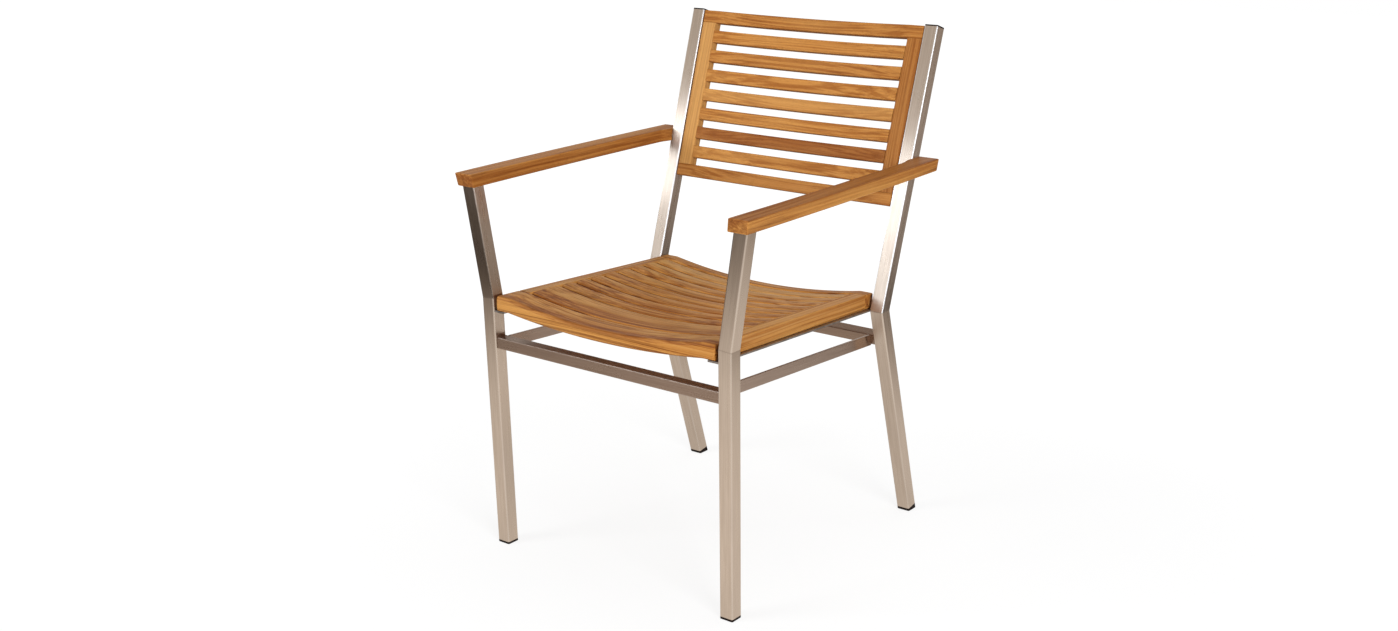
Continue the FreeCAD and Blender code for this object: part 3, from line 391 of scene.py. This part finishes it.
# Feet and caps: moulded plugs of matt black plastic. Their stems are pushed into the open ends of the
# tubes, so that only the sole of a foot and the thin plate of a cap show.
def black_plastic():
    """Moulded plastic: near black, faintly mottled, with a fine moulded grain."""
    made, tree, shader = new_material("black_plastic")
    place = node(tree, "ShaderNodeTexCoord").outputs["Object"]
    grain = noise(tree, place, (1400, 1400, 1400), 2.0)
    scuff = noise(tree, place, (120, 120, 120), 5.0)
    tone = mixed(tree, "MIX", between(tree, scuff, 0.45, 0.75), (0.010, 0.0052, 0.0040),
                 (0.020, 0.0115, 0.0090))
    tree.links.new(tone, shader.inputs["Base Color"])
    tree.links.new(between(tree, scuff, 0.3, 0.7, 0.55, 0.72), shader.inputs["Roughness"])
    shader.inputs["Specular IOR Level"].default_value = 0.08
    relief(tree, shader, grain, 0.2, 0.0001)
    return made


PLASTIC = black_plastic()
for hand in ("left", "right"):
    for label in ("front_foot_", "rear_foot_", "upright_cap_"):
        finish_node(label + hand, PLASTIC)

# Seat: a dished panel of oiled teak. Two long side rails are tenoned into a deep front slat and a rear
# slat; narrower slats between them are hollowed to the sitter and have eased edges.
SEAT_FRONT = np.array([0.0, -0.29763, 0.458])
SEAT_FALL, SEAT_RUN = 0.017, 0.4616
SEAT_SLOPE = np.arctan2(SEAT_FALL, SEAT_RUN)
SEAT_DEPTH = SEAT_RUN / np.cos(SEAT_SLOPE)
SEAT_HALF = 0.2245
SEAT_THICK = 0.026
SEAT_END_EASE = 0.002
SEAT_SIDE, SEAT_SIDE_EDGE = 0.024, 0.002
SEAT_DISH = 0.018
SEAT_BELLY = 0.0128
SEAT_FRONT_DEPTH, SEAT_FRONT_EDGE = 0.056, 0.005
SEAT_REAR_DEPTH, SEAT_REAR_EDGE = 0.026, 0.003
SEAT_SLATS = 9
SEAT_WIDE = 0.0692
SEAT_SLAT = 0.032
SEAT_SLAT_THICK = 0.016
SLAT_EDGE = 0.003
SLAT_CROWN = 0.001
END_STATIONS = 6
CROSS_STATIONS, SLAT_STATIONS, SIDE_STATIONS = 61, 49, 12
CROWN_STATIONS = 11
BOARD_TURNS, BOARD_SUPPORT = 5, 0.0006


def bow(along, half, depth):
    """Circular arc across a span of twice the half width: 0 at and past both ends, depth in the middle."""
    radius = (half ** 2 + depth ** 2) / (2 * depth)
    inside = np.clip(np.abs(along), 0, half)
    return np.sqrt(radius ** 2 - inside ** 2) - (radius - depth)


def stations(low, high, count, ease):
    """Places along a bar and how far its outline is drawn in there: quarter circles at both ends."""
    turn = np.linspace(np.pi / 2, 0, END_STATIONS)
    start = low + ease * (1 - np.sin(turn))
    between_ends = np.linspace(low + ease, high - ease, count)[1:-1]
    along = np.concatenate([start, between_ends, (low + high - start)[::-1]])
    inset = ease * (1 - np.cos(turn))
    return along, np.concatenate([inset, np.zeros(count - 2), inset[::-1]])


def eased_bar(along, inset, low, high, bottom, top, edge, crown=0.0):
    """Rectangle with rounded corners carried along a bar; the four sides may change along it. Points are
    (along, across, up): each corner is a quarter circle about a centre one edge radius inside, and the top
    between the corners is a low parabola, crown high in the middle."""
    sides = (low, high, bottom, top - crown)
    low, high, bottom, top = (np.broadcast_to(side, along.shape)[:, None, None] for side in sides)
    angle, slide = corner_turns(BOARD_TURNS, BOARD_SUPPORT)
    radius = edge - inset[:, None, None]
    across = low + edge + RIGHT_CORNERS * (high - low - 2 * edge) + radius * np.cos(angle)
    across = across - slide * np.sin(angle)
    up = bottom + edge + UPPER_CORNERS * (top - bottom - 2 * edge) + radius * np.sin(angle)
    up = up + slide * np.cos(angle)
    share = np.linspace(0, 1, CROWN_STATIONS)[None, 1:-1]
    face = across[:, 0, -1:] + (across[:, 1, :1] - across[:, 0, -1:]) * share
    hill = up[:, 0, -1:] + crown * 4 * share * (1 - share)
    across = np.concatenate([across[:, 0], face, across[:, 1:].reshape(len(along), -1)], axis=1)
    up = np.concatenate([up[:, 0], hill, up[:, 1:].reshape(len(along), -1)], axis=1)
    return np.stack([np.broadcast_to(along[:, None], across.shape), across, up], axis=-1)


def teak():
    """Oiled teak cut from solid boards: growth rings round a far-off heart, dark streaks, fine fibres and
    short open pores, all along the board, on coordinates that each board carries with it."""
    made, tree, shader = new_material("oiled_teak")
    place = attribute(tree, "grain", "Vector")
    tone = attribute(tree, "tone")
    figure = attribute(tree, "figure")
    shifted = node(tree, "ShaderNodeVectorMath", operation="MULTIPLY_ADD")
    feed(tree, shifted.inputs[0], noise(tree, place, (1.5, 10, 10), 2.0, output="Color"))
    feed(tree, shifted.inputs[1], (0.0, 0.024, 0.024))
    feed(tree, shifted.inputs[2], place)
    bent = shifted.outputs["Vector"]
    rings = noise(tree, bent, (0.35, 130, 360), 2.0, 0.6)
    streaks = noise(tree, bent, (0.8, 180, 180), 2.0, 0.65)
    veins = noise(tree, bent, (0.5, 330, 330), 3.0, 0.6)
    fibres = noise(tree, place, (30, 1700, 1700), 3.0, 0.6)
    pores = noise(tree, place, (90, 2400, 2400), 1.0)
    cloud = noise(tree, place, (3.5, 26, 26), 3.0)
    pore = between(tree, pores, 0.62, 0.74)
    ring = between(tree, rings, 0.38, 0.62)
    colour = mixed(tree, "MIX", ring, (0.355, 0.128, 0.0225), (0.535, 0.238, 0.054))
    streak = maths(tree, "MULTIPLY", between(tree, streaks, 0.54, 0.70, 0.0, 0.45), figure)
    colour = mixed(tree, "MIX", streak, colour, (0.17, 0.054, 0.012))
    vein = maths(tree, "MULTIPLY", between(tree, veins, 0.58, 0.66, 0.0, 0.6), figure)
    colour = mixed(tree, "MULTIPLY", vein, colour, (0.40, 0.28, 0.20))
    pale = maths(tree, "MULTIPLY", between(tree, cloud, 0.42, 0.72), 0.4)
    colour = mixed(tree, "MIX", pale, colour, (0.62, 0.33, 0.095))
    fibre = maths(tree, "MULTIPLY", between(tree, fibres, 0.35, 0.7), 0.35)
    colour = mixed(tree, "MULTIPLY", fibre, colour, (0.72, 0.64, 0.56))
    colour = mixed(tree, "MULTIPLY", maths(tree, "MULTIPLY", pore, 0.6), colour, (0.42, 0.32, 0.25))
    strong = maths(tree, "MULTIPLY", maths(tree, "SUBTRACT", figure, 0.6), 3.6)
    banded = maths(tree, "MULTIPLY", maths(tree, "SUBTRACT", streaks, 0.5), strong)
    tone = maths(tree, "ADD", tone, banded)
    # Positive tone mixes towards darker wood and negative tone towards paler wood: the boards' own tones,
    # and on the seat slat tops painted shade in front and painted light behind.
    heart = mixed(tree, "MULTIPLY", 1.0, colour, (0.62, 0.51, 0.47))
    paler_wood_and_light = mixed(tree, "MIX", 0.55, colour, (0.66, 0.39, 0.14))
    paler = maths(tree, "MAXIMUM", maths(tree, "MULTIPLY", tone, -1.0), 0.0)
    colour = mixed(tree, "MIX", between(tree, tone, 0.0, 1.0), colour, heart)
    # Tones from 1 to 2 darken further; tone 2 on the seat slats' sides is painted shade in the gaps.
    colour = mixed(tree, "MULTIPLY", between(tree, tone, 1.0, 2.0), colour, (0.50, 0.36, 0.28))
    colour = mixed(tree, "MIX", paler, colour, paler_wood_and_light)
    tree.links.new(colour, shader.inputs["Base Color"])
    rough = between(tree, rings, 0.3, 0.7, 0.52, 0.42)
    rough = maths(tree, "ADD", rough, maths(tree, "MULTIPLY", pore, 0.2))
    tree.links.new(rough, shader.inputs["Roughness"])
    heights = maths(tree, "SUBTRACT", maths(tree, "MULTIPLY", fibres, 0.4), pore)
    relief(tree, shader, heights, 0.25, 0.0004)
    shader.inputs["Specular IOR Level"].default_value = 0.12
    return made


TEAK = teak()
END_GRAIN = 0.45
FIGURE = {"seat_teak": 1.4, "back_teak": 0.55, "arm_teak": 0.9}
RING_TURN = 2.4
TREE_STEP = np.array([0.83, 0.29, 0.17])
board_numbers = itertools.count(1)


def board(name, grid, origin, axes, slot, tone):
    """Piece of teak: the bar's own coordinates become its grain, turned about its length and moved to a
    fresh part of the tree for every board, and the bar goes to its place in the chair along the three axes
    given. Its ends are end grain, which takes the oil darker. The slot tells how strong the figure is."""
    number = next(board_numbers)
    turn = RING_TURN * number
    rings = np.array([[1, 0, 0], [0, np.cos(turn), np.sin(turn)], [0, -np.sin(turn), np.cos(turn)]])
    grain = grid @ rings + TREE_STEP * number
    tone = np.array(np.broadcast_to(tone, grid.shape[:2]))
    tone[[0, -1]] += END_GRAIN
    figure = np.full((1, 1), FIGURE[slot])
    placed = origin + grid @ np.array(axes)
    piece = skin(name, placed, {"grain": grain, "tone": tone, "figure": figure})
    piece.data.materials.append(TEAK)
    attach(piece, "root")
    return piece


# Width of the step from painted shade in front to painted light behind on the seat slat tops.
SHADE_STEP_BLEND = 0.16


def smooth_step(share):
    """Rises from 0 to 1 with its share and is level at both ends: three squares less two cubes."""
    share = np.clip(share, 0, 1)
    return share * share * (3 - 2 * share)


def shaded_front_to_lit_rear(grid, low, high, front, rear, split):
    """Tone across a board, darker in front and paler behind with a smooth step at the split: the board's own
    tone, with painted shade in front and painted light behind.
    """
    share = np.clip((grid[..., 1] - low) / (high - low), 0, 1)
    return front + (rear - front) * smooth_step((share - split) / SHADE_STEP_BLEND + 0.5)


seat_rear = np.array([0.0, np.cos(SEAT_SLOPE), -np.sin(SEAT_SLOPE)])
seat_up = np.array([0.0, np.sin(SEAT_SLOPE), np.cos(SEAT_SLOPE)])
along_seat = (ACROSS, seat_rear, seat_up)
slat_half = SEAT_HALF - SEAT_SIDE
side_length = SEAT_DEPTH - SEAT_FRONT_DEPTH - SEAT_REAR_DEPTH
rear_start = SEAT_DEPTH - SEAT_REAR_DEPTH
slat_gap = (side_length - SEAT_WIDE - (SEAT_SLATS - 1) * SEAT_SLAT) / (SEAT_SLATS + 1)
# Tones for the front and rear slats' faces, the slats' sides in the gaps (painted shade), the slats'
# undersides and the side rails.
FACE_TONE, GAP_SHADE_TONE, UNDER_TONE, SIDE_TONE = 0.1, 2.0, 0.2, -0.2
# Seat board tones as front, rear and split: the boards' own tones, and on the front slat and the slats a top
# painted darker in front and lighter behind, as painted shade and painted light.
FRONT_TONES_AND_SHADE, REAR_TONES = (0.78, -0.35, 0.42), (0.1, 0.1, 0.5)
SLAT_TONES_AND_SHADE = ((0.65, -0.4, 0.45), (0.6, 0.1, 0.4), (0.5, -0.2, 0.5), (0.3, -0.4, 0.5), (0.3, -0.2, 0.6),
              (0.1, -0.5, 0.4), (0.0, -0.7, 0.5), (-0.1, -0.9, 0.4), (-0.4, -1.0, 0.2))
for label, start, depth, edge, tones in (
        ("seat_front_slat", 0.0, SEAT_FRONT_DEPTH, SEAT_FRONT_EDGE, FRONT_TONES_AND_SHADE),
        ("seat_rear_slat", rear_start, SEAT_REAR_DEPTH, SEAT_REAR_EDGE, REAR_TONES)):
    along, inset = stations(-SEAT_HALF, SEAT_HALF, CROSS_STATIONS, SEAT_END_EASE)
    top = -bow(along, slat_half, SEAT_DISH)
    bottom = -SEAT_THICK - bow(along, slat_half, SEAT_BELLY)
    grid = eased_bar(along, inset, start, start + depth, bottom, top, edge)
    on_top = grid[..., 2] > top[:, None] - edge
    # Tops take the board's tone, stepping from painted shade in front to painted light behind on the front
    # slat.
    tone = np.where(on_top, shaded_front_to_lit_rear(grid, start, start + depth, *tones), FACE_TONE)
    slat = board(label + "_teak", grid, SEAT_FRONT, along_seat, "seat_teak", tone)
    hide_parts(label)
start = SEAT_FRONT_DEPTH + slat_gap
for number, tones in enumerate(SLAT_TONES_AND_SHADE):
    width = SEAT_SLAT if number else SEAT_WIDE
    along, inset = stations(-slat_half, slat_half, SLAT_STATIONS, 0.0)
    top = -bow(along, slat_half, SEAT_DISH)
    grid = eased_bar(along, inset, start, start + width, top - SEAT_SLAT_THICK, top, SLAT_EDGE, SLAT_CROWN)
    below_top = top[:, None] - grid[..., 2]
    # The slats' sides take the gap tone: painted shade in the gaps between slats.
    tone = np.where(below_top < SLAT_EDGE, shaded_front_to_lit_rear(grid, start, start + width, *tones), GAP_SHADE_TONE)
    tone = np.where(below_top > SEAT_SLAT_THICK - SLAT_EDGE, UNDER_TONE, tone)
    slat = board("seat_slat_teak_%d" % (number + 1), grid, SEAT_FRONT, along_seat, "seat_teak", tone)
    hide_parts("seat_slat_%d" % (number + 1))
    start += width + slat_gap
for hand, side in HANDS:
    along, inset = stations(SEAT_FRONT_DEPTH, SEAT_FRONT_DEPTH + side_length, SIDE_STATIONS, 0.0)
    edges = sorted((side * SEAT_HALF, side * slat_half))
    grid = eased_bar(along, inset, -edges[1], -edges[0], -SEAT_THICK, 0.0, SEAT_SIDE_EDGE)
    rail = board("seat_side_teak_" + hand, grid, SEAT_FRONT, (seat_rear, -ACROSS, seat_up), "seat_teak",
                 SIDE_TONE)
    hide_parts("seat_side_" + hand)

# Back: a teak panel between the uprights. Top and bottom rails and two stiles make its frame; the slats
# between them are bowed away from the sitter and tenoned into the stiles.
PANEL_HALF = 0.230
PANEL_FRONT = 0.0023 - TUBE / 2
PANEL_HEIGHT = 0.305
PANEL_THICK = 0.018
BACK_SLAT = 0.022
BACK_SLATS = 7
BACK_BOW = 0.013
BACK_EDGE = 0.0018
BACK_END_EASE = 0.0015
STILE, STILE_EDGE = 0.029, 0.002
BACK_TONES = (0.35, 0.15, 0.3, 0.1, -0.25, 0.0, 1.0, 0.05, 0.4)
STILE_TONES = {"left": 0.6, "right": -0.6}
panel_top = upright_length
panel_bottom = upright_length - PANEL_HEIGHT
back_half = PANEL_HALF - STILE
back_pitch = (PANEL_HEIGHT - BACK_SLAT) / (BACK_SLATS + 1)
back_origin = on_centre * REAR_KNEE + back_rear * PANEL_FRONT
along_back = (ACROSS, back_up, -back_rear)
for number in range(BACK_SLATS + 2):
    outer = number in (0, BACK_SLATS + 1)
    label = {0: "back_top_rail", BACK_SLATS + 1: "back_bottom_rail"}.get(number, "back_slat_%d" % number)
    half = PANEL_HALF if outer else back_half
    along, inset = stations(-half, half, SLAT_STATIONS, BACK_END_EASE if outer else 0.0)
    front = -bow(along, back_half, BACK_BOW)
    high = panel_top - number * back_pitch
    grid = eased_bar(along, inset, high - BACK_SLAT, high, front - PANEL_THICK, front, BACK_EDGE)
    slat = board(label + "_teak", grid, back_origin, along_back, "back_teak", BACK_TONES[number])
    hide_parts(label)
for hand, side in HANDS:
    along, inset = stations(panel_bottom + BACK_SLAT, panel_top - BACK_SLAT, SIDE_STATIONS, 0.0)
    low, high = sorted((side * PANEL_HALF, side * back_half))
    grid = eased_bar(along, inset, low, high, -PANEL_THICK, 0.0, STILE_EDGE)
    # These axes are left-handed, so the ring of points runs the other way round to face outward.
    stile = board("back_stile_teak_" + hand, grid[:, ::-1], back_origin, (back_up, ACROSS, -back_rear),
                  "back_teak", STILE_TONES[hand])
    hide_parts("back_stile_" + hand)

# Armrests: one piece of teak each, slightly bowed outward in plan, with sides that lean outward like the
# posts. The front overhangs the post; the rear is notched to lie against the outer face of the upright.
ARM_THICK = 0.0214
ARM_FRONT = -0.0205
ARM_SHORT = 0.001
ARM_RAKE, ARM_RAKE_RUN = 0.0026, 0.01
ARM_EDGE = 0.002
ARM_END_EASE = 0.0018
ARM_STATIONS, NOTCH_STATIONS = 70, 60
INNER_FRONT, INNER_MIDDLE, INNER_WAIST = -0.0196, -0.0151, -0.0167
OUTER_FRONT, OUTER_MIDDLE, OUTER_REAR = 0.0169, 0.0204, 0.0174
SHALLOW = 0.01
HOOK = 0.024
ARM_LAP = 0.002
ARM_OVERHANG = 0.004
NOTCH_FIT = 0.001
# Tones of each arm's top face and of its other faces: partly the wood's own tone, partly painted shade that
# sets the top against the sides.
ARM_TONES_AND_SHADE = {"left": (0.9, 0.1), "right": (0.55, 0.7)}


def bowed_edge(along, start, end, at_start, at_middle, at_end):
    """Edge of the arm in plan: a straight line from start to end, carried out by a shallow circular arc that
    reaches its middle value half way. Past the end it goes straight on at the end value."""
    half = (end - start) / 2
    arc = bow(along - start - half, half, SHALLOW) / SHALLOW
    line = np.interp(along, [start, end], [at_start, at_end])
    return line + (at_middle - (at_start + at_end) / 2) * arc


arm_along = np.array([0.0, np.cos(ARM_RISE), np.sin(ARM_RISE)])
notch_lean = UPRIGHT_LEAN + ARM_RISE
tube_level = TUBE / 2 / np.cos(UPRIGHT_LEAN)
upright_face = TUBE / 2 - (post_top[0] - LEG_X)
lap = upright_face - ARM_LAP - ARM_THICK * np.tan(POST_SPLAY)
for hand, side in HANDS:
    low, high = (np.array(corner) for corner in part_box("armrest_" + hand))
    rear = ARM_FRONT + (high[1] - low[1]) / np.cos(ARM_RISE) - ARM_SHORT
    screw = rear - tube_level - ARM_OVERHANG
    hook_end = screw - tube_level - 2 * ARM_OVERHANG
    hook_start = hook_end - HOOK
    along, inset = stations(ARM_FRONT, rear, ARM_STATIONS, ARM_END_EASE)
    close = np.linspace(hook_end, screw, NOTCH_STATIONS)
    order = np.argsort(np.concatenate([along, close]))
    along = np.concatenate([along, close])[order]
    inset = np.concatenate([inset, np.zeros(len(close))])[order]
    inner = bowed_edge(along, ARM_FRONT, hook_start, INNER_FRONT, INNER_MIDDLE, INNER_WAIST)
    inner += (lap - INNER_WAIST) * smooth_step((along - hook_start) / HOOK)
    outer = bowed_edge(along, ARM_FRONT, rear, OUTER_FRONT, OUTER_MIDDLE, OUTER_REAR)
    grid = eased_bar(along, inset, inner, outer, 0.0, ARM_THICK, ARM_EDGE)
    # Top faces and the other faces take their own tones, partly painted shade.
    tone = np.where(grid[..., 2] > ARM_THICK - ARM_EDGE, *ARM_TONES_AND_SHADE[hand])
    grid[..., 1] += np.tan(POST_SPLAY) * grid[..., 2]
    notch_middle = screw - TUBE / 2 / np.cos(notch_lean) - NOTCH_FIT
    notch = notch_middle + (grid[..., 2] - ARM_THICK / 2) * np.tan(notch_lean)
    beside_tube = np.maximum(grid[..., 1], upright_face)
    grid[..., 1] = np.where(grid[..., 0] > notch, beside_tube, grid[..., 1])
    share = np.clip((ARM_FRONT + ARM_RAKE_RUN - along) / ARM_RAKE_RUN, 0, 1)[:, None]
    grid[..., 0] += ARM_RAKE * share * (1 - grid[..., 2] / ARM_THICK)
    # On the left the axes are left-handed, so there the ring of points runs the other way round.
    if side > 0:
        grid = grid[:, ::-1]
        tone = tone[:, ::-1]
    arm = board("armrest_teak_" + hand, grid, mirrored(post_top, side), (arm_along, side * ACROSS, arm_up),
                "arm_teak", tone)
    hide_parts("armrest_" + hand)

# Studio: a pale seamless floor under a white surround, large soft lamps, cards that only reflections
# show, and the camera of the photograph. None of it belongs to the chair.
POOL_PLACE, SHADE_PLACE = (0.45, -0.55, 0.0), (0.0, 0.05, 0.0)
POOL_REACH, POOL_LEVEL = (1.15, 2.10), (0.97, 0.10)
CORE_REACH, CORE_GAIN = (0.3, 1.3), (1.16, 1.0)
SHADE_REACH, SHADE_GAIN = (0.1, 0.6), (0.80, 1.0)
BEHIND_REACH, BEHIND_LEVEL = (1.2, 2.2), (0.08, 0.29)
SEEN_REACH, SEEN_LEVEL = (0.8, 3.0), (1.10, 1.30)
SEEN_GLOW = 0.75
WARM, WHITE, COOL, COLD = (1.0, 0.88, 0.80), (1.0, 1.0, 1.0), (0.92, 1.0, 1.14), (0.86, 1.0, 1.18)


def distance_from(tree, place, spot):
    """How far a place on the floor is from a spot on it, in metres."""
    made = node(tree, "ShaderNodeVectorMath", operation="DISTANCE")
    feed(tree, made.inputs[0], place)
    feed(tree, made.inputs[1], spot)
    return made.outputs["Value"]


def studio_floor():
    """Matt white paper that takes a soft shadow. The camera sees it white; in reflections it is white in a
    pool of light round the chair, dark beyond that pool, and a little paler again far behind."""
    made, tree, shader = new_material("white_paper")
    place = node(tree, "ShaderNodeTexCoord").outputs["Object"]
    fibre = noise(tree, place, (3.0, 3.0, 3.0), 4.0)
    tone = mixed(tree, "MIX", fibre, (0.80, 0.80, 0.80), (0.84, 0.84, 0.84))
    tree.links.new(tone, shader.inputs["Base Color"])
    shader.inputs["Roughness"].default_value = 0.9
    path = node(tree, "ShaderNodeLightPath")
    seen, mirrored_ray = path.outputs["Is Camera Ray"], path.outputs["Is Glossy Ray"]
    away = distance_from(tree, place, POOL_PLACE)
    below = distance_from(tree, place, SHADE_PLACE)
    pool = between(tree, away, *POOL_REACH, *POOL_LEVEL)
    pool = maths(tree, "MULTIPLY", pool, between(tree, away, *CORE_REACH, *CORE_GAIN))
    pool = maths(tree, "MULTIPLY", pool, between(tree, below, *SHADE_REACH, *SHADE_GAIN))
    behind = node(tree, "ShaderNodeSeparateXYZ", Vector=place).outputs["Y"]
    pool = maths(tree, "MAXIMUM", pool, between(tree, behind, *BEHIND_REACH, *BEHIND_LEVEL))
    paper = maths(tree, "MULTIPLY", seen, between(tree, away, *SEEN_REACH, *SEEN_LEVEL))
    white = maths(tree, "MAXIMUM", seen, between(tree, pool, 0.2, 0.9))
    glow = node(tree, "ShaderNodeEmission", Color=mixed(tree, "MIX", white, WARM, WHITE))
    strength = maths(tree, "MAXIMUM", paper, maths(tree, "MULTIPLY", mirrored_ray, pool))
    tree.links.new(strength, glow.inputs["Strength"])
    blend = node(tree, "ShaderNodeMixShader")
    glowing = maths(tree, "MAXIMUM", maths(tree, "MULTIPLY", seen, SEEN_GLOW), mirrored_ray)
    tree.links.new(glowing, blend.inputs[0])
    tree.links.new(shader.outputs["BSDF"], blend.inputs[1])
    tree.links.new(glow.outputs["Emission"], blend.inputs[2])
    tree.links.new(blend.outputs["Shader"], tree.nodes["Material Output"].inputs["Surface"])
    return made


def sheet(name, middle, half_width, half_height, material):
    """Flat rectangle; the two halves are arrows from its middle to the middle of a side."""
    middle, right, above = np.array(middle), np.array(half_width), np.array(half_height)
    corners = [middle + u * right + v * above for u, v in ((-1, -1), (1, -1), (1, 1), (-1, 1))]
    mesh = bpy.data.meshes.new(name)
    mesh.from_pydata([tuple(corner) for corner in corners], [], [(0, 1, 2, 3)])
    mesh.materials.append(material)
    made = bpy.data.objects.new(name, mesh)
    bpy.context.collection.objects.link(made)
    return made


FLOOR_HALF = 12.0
floor = sheet("floor", (0.0, 0.0, 0.0), (FLOOR_HALF, 0.0, 0.0), (0.0, FLOOR_HALF, 0.0), studio_floor())

WORLD_LIGHT, WORLD_MIRRORED = 0.28, 0.75
world = bpy.data.worlds.new("white_surround")
world.use_nodes = True
bpy.context.scene.world = world
sky = world.node_tree
path = node(sky, "ShaderNodeLightPath")
level = maths(sky, "MULTIPLY", path.outputs["Is Glossy Ray"], WORLD_MIRRORED)
level = maths(sky, "MAXIMUM", path.outputs["Is Camera Ray"], level)
sky.links.new(maths(sky, "MAXIMUM", level, WORLD_LIGHT), sky.nodes["Background"].inputs["Strength"])
sky.nodes["Background"].inputs["Color"].default_value = (*WHITE, 1.0)


def soft_lamp(name, place, aim, size, watts):
    """Square soft box that points at a spot; it lights the chair, and no reflection shows it."""
    lamp = bpy.data.lights.new(name, "AREA")
    lamp.shape = "SQUARE"
    lamp.size = size
    lamp.energy = watts
    holder = bpy.data.objects.new(name, lamp)
    holder.location = place
    holder.rotation_euler = (Vector(aim) - Vector(place)).to_track_quat("-Z", "Y").to_euler()
    holder.visible_glossy = False
    bpy.context.collection.objects.link(holder)


soft_lamp("left_lamp", (-3.0, -4.8, 2.3), (0.0, 0.0, 0.5), 2.6, 185.0)
soft_lamp("right_lamp", (5.2, -3.0, 2.3), (0.0, 0.0, 0.5), 2.6, 290.0)
soft_lamp("top_lamp", (0.2, 0.6, 3.2), (0.0, 0.0, 0.4), 2.4, 22.0)


def shine_card(name, middle, half_width, half_height, strength, colour):
    """Glowing sheet that only reflections show, placed as a sheet is."""
    made, tree, shader = new_material(name + "_glow")
    shader.inputs["Base Color"].default_value = (0.0, 0.0, 0.0, 1.0)
    shader.inputs["Emission Color"].default_value = (*colour, 1.0)
    shader.inputs["Emission Strength"].default_value = strength
    card = sheet(name, middle, half_width, half_height, made)
    card.visible_camera = False
    card.visible_diffuse = False
    card.visible_shadow = False


shine_card("strip_light", (-1.15, -1.30, 1.175), (1.07, -0.74, 0.20), (0.0, 0.0, 0.14), 4.0, COLD)
shine_card("low_strip", (-0.55, -1.714, 0.97), (0.43, -0.30, 0.09), (0.0, 0.0, 0.17), 3.3, COLD)
shine_card("corner_card", (2.10, -1.00, 1.20), (0.43, 0.90, 0.0), (0.0, 0.0, 0.50), 2.6, COOL)
shine_card("back_card", (2.90, 3.10, 0.80), (2.2, -1.9, 0.0), (0.0, 0.0, 1.0), 0.37, WARM)

PHOTO_WIDTH, PHOTO_HEIGHT = 1398, 631
FOCAL_PIXELS = 1515.98
AXIS_X, AXIS_Y = 698.75, 428.29
VIEW_YAW, VIEW_PITCH, VIEW_ROLL = np.radians([36.761, 20.205, 0.424])
VIEW_DISTANCE = 2.669695
LOOK_SIDE, LOOK_HEIGHT = 0.002173, 0.199948
FIT_TO_CHAIR_Y = -0.03853
level_ahead = np.array([-np.sin(VIEW_YAW), np.cos(VIEW_YAW), 0.0])
ahead = np.cos(VIEW_PITCH) * level_ahead - np.sin(VIEW_PITCH) * UP
right = np.cross(ahead, UP)
right /= np.linalg.norm(right)
above = np.cross(right, ahead)
right, above = (np.cos(VIEW_ROLL) * right + np.sin(VIEW_ROLL) * above,
                np.cos(VIEW_ROLL) * above - np.sin(VIEW_ROLL) * right)
look_at = np.array([LOOK_SIDE * right[0], LOOK_SIDE * right[1] + FIT_TO_CHAIR_Y, LOOK_HEIGHT])
eye = look_at - ahead * VIEW_DISTANCE
lens = bpy.data.cameras.new("camera")
lens.sensor_fit = "HORIZONTAL"
lens.sensor_width = 36.0
lens.lens = FOCAL_PIXELS * lens.sensor_width / PHOTO_WIDTH
lens.shift_x = (PHOTO_WIDTH / 2 - AXIS_X) / PHOTO_WIDTH
lens.shift_y = (AXIS_Y - PHOTO_HEIGHT / 2) / PHOTO_WIDTH
camera = bpy.data.objects.new("camera", lens)
placing = np.eye(4)
placing[:3] = np.stack([right, above, -ahead, eye], axis=1)
camera.matrix_world = Matrix(placing.tolist())
bpy.context.collection.objects.link(camera)
bpy.context.scene.camera = camera
bpy.context.scene.view_settings.view_transform = "Standard"
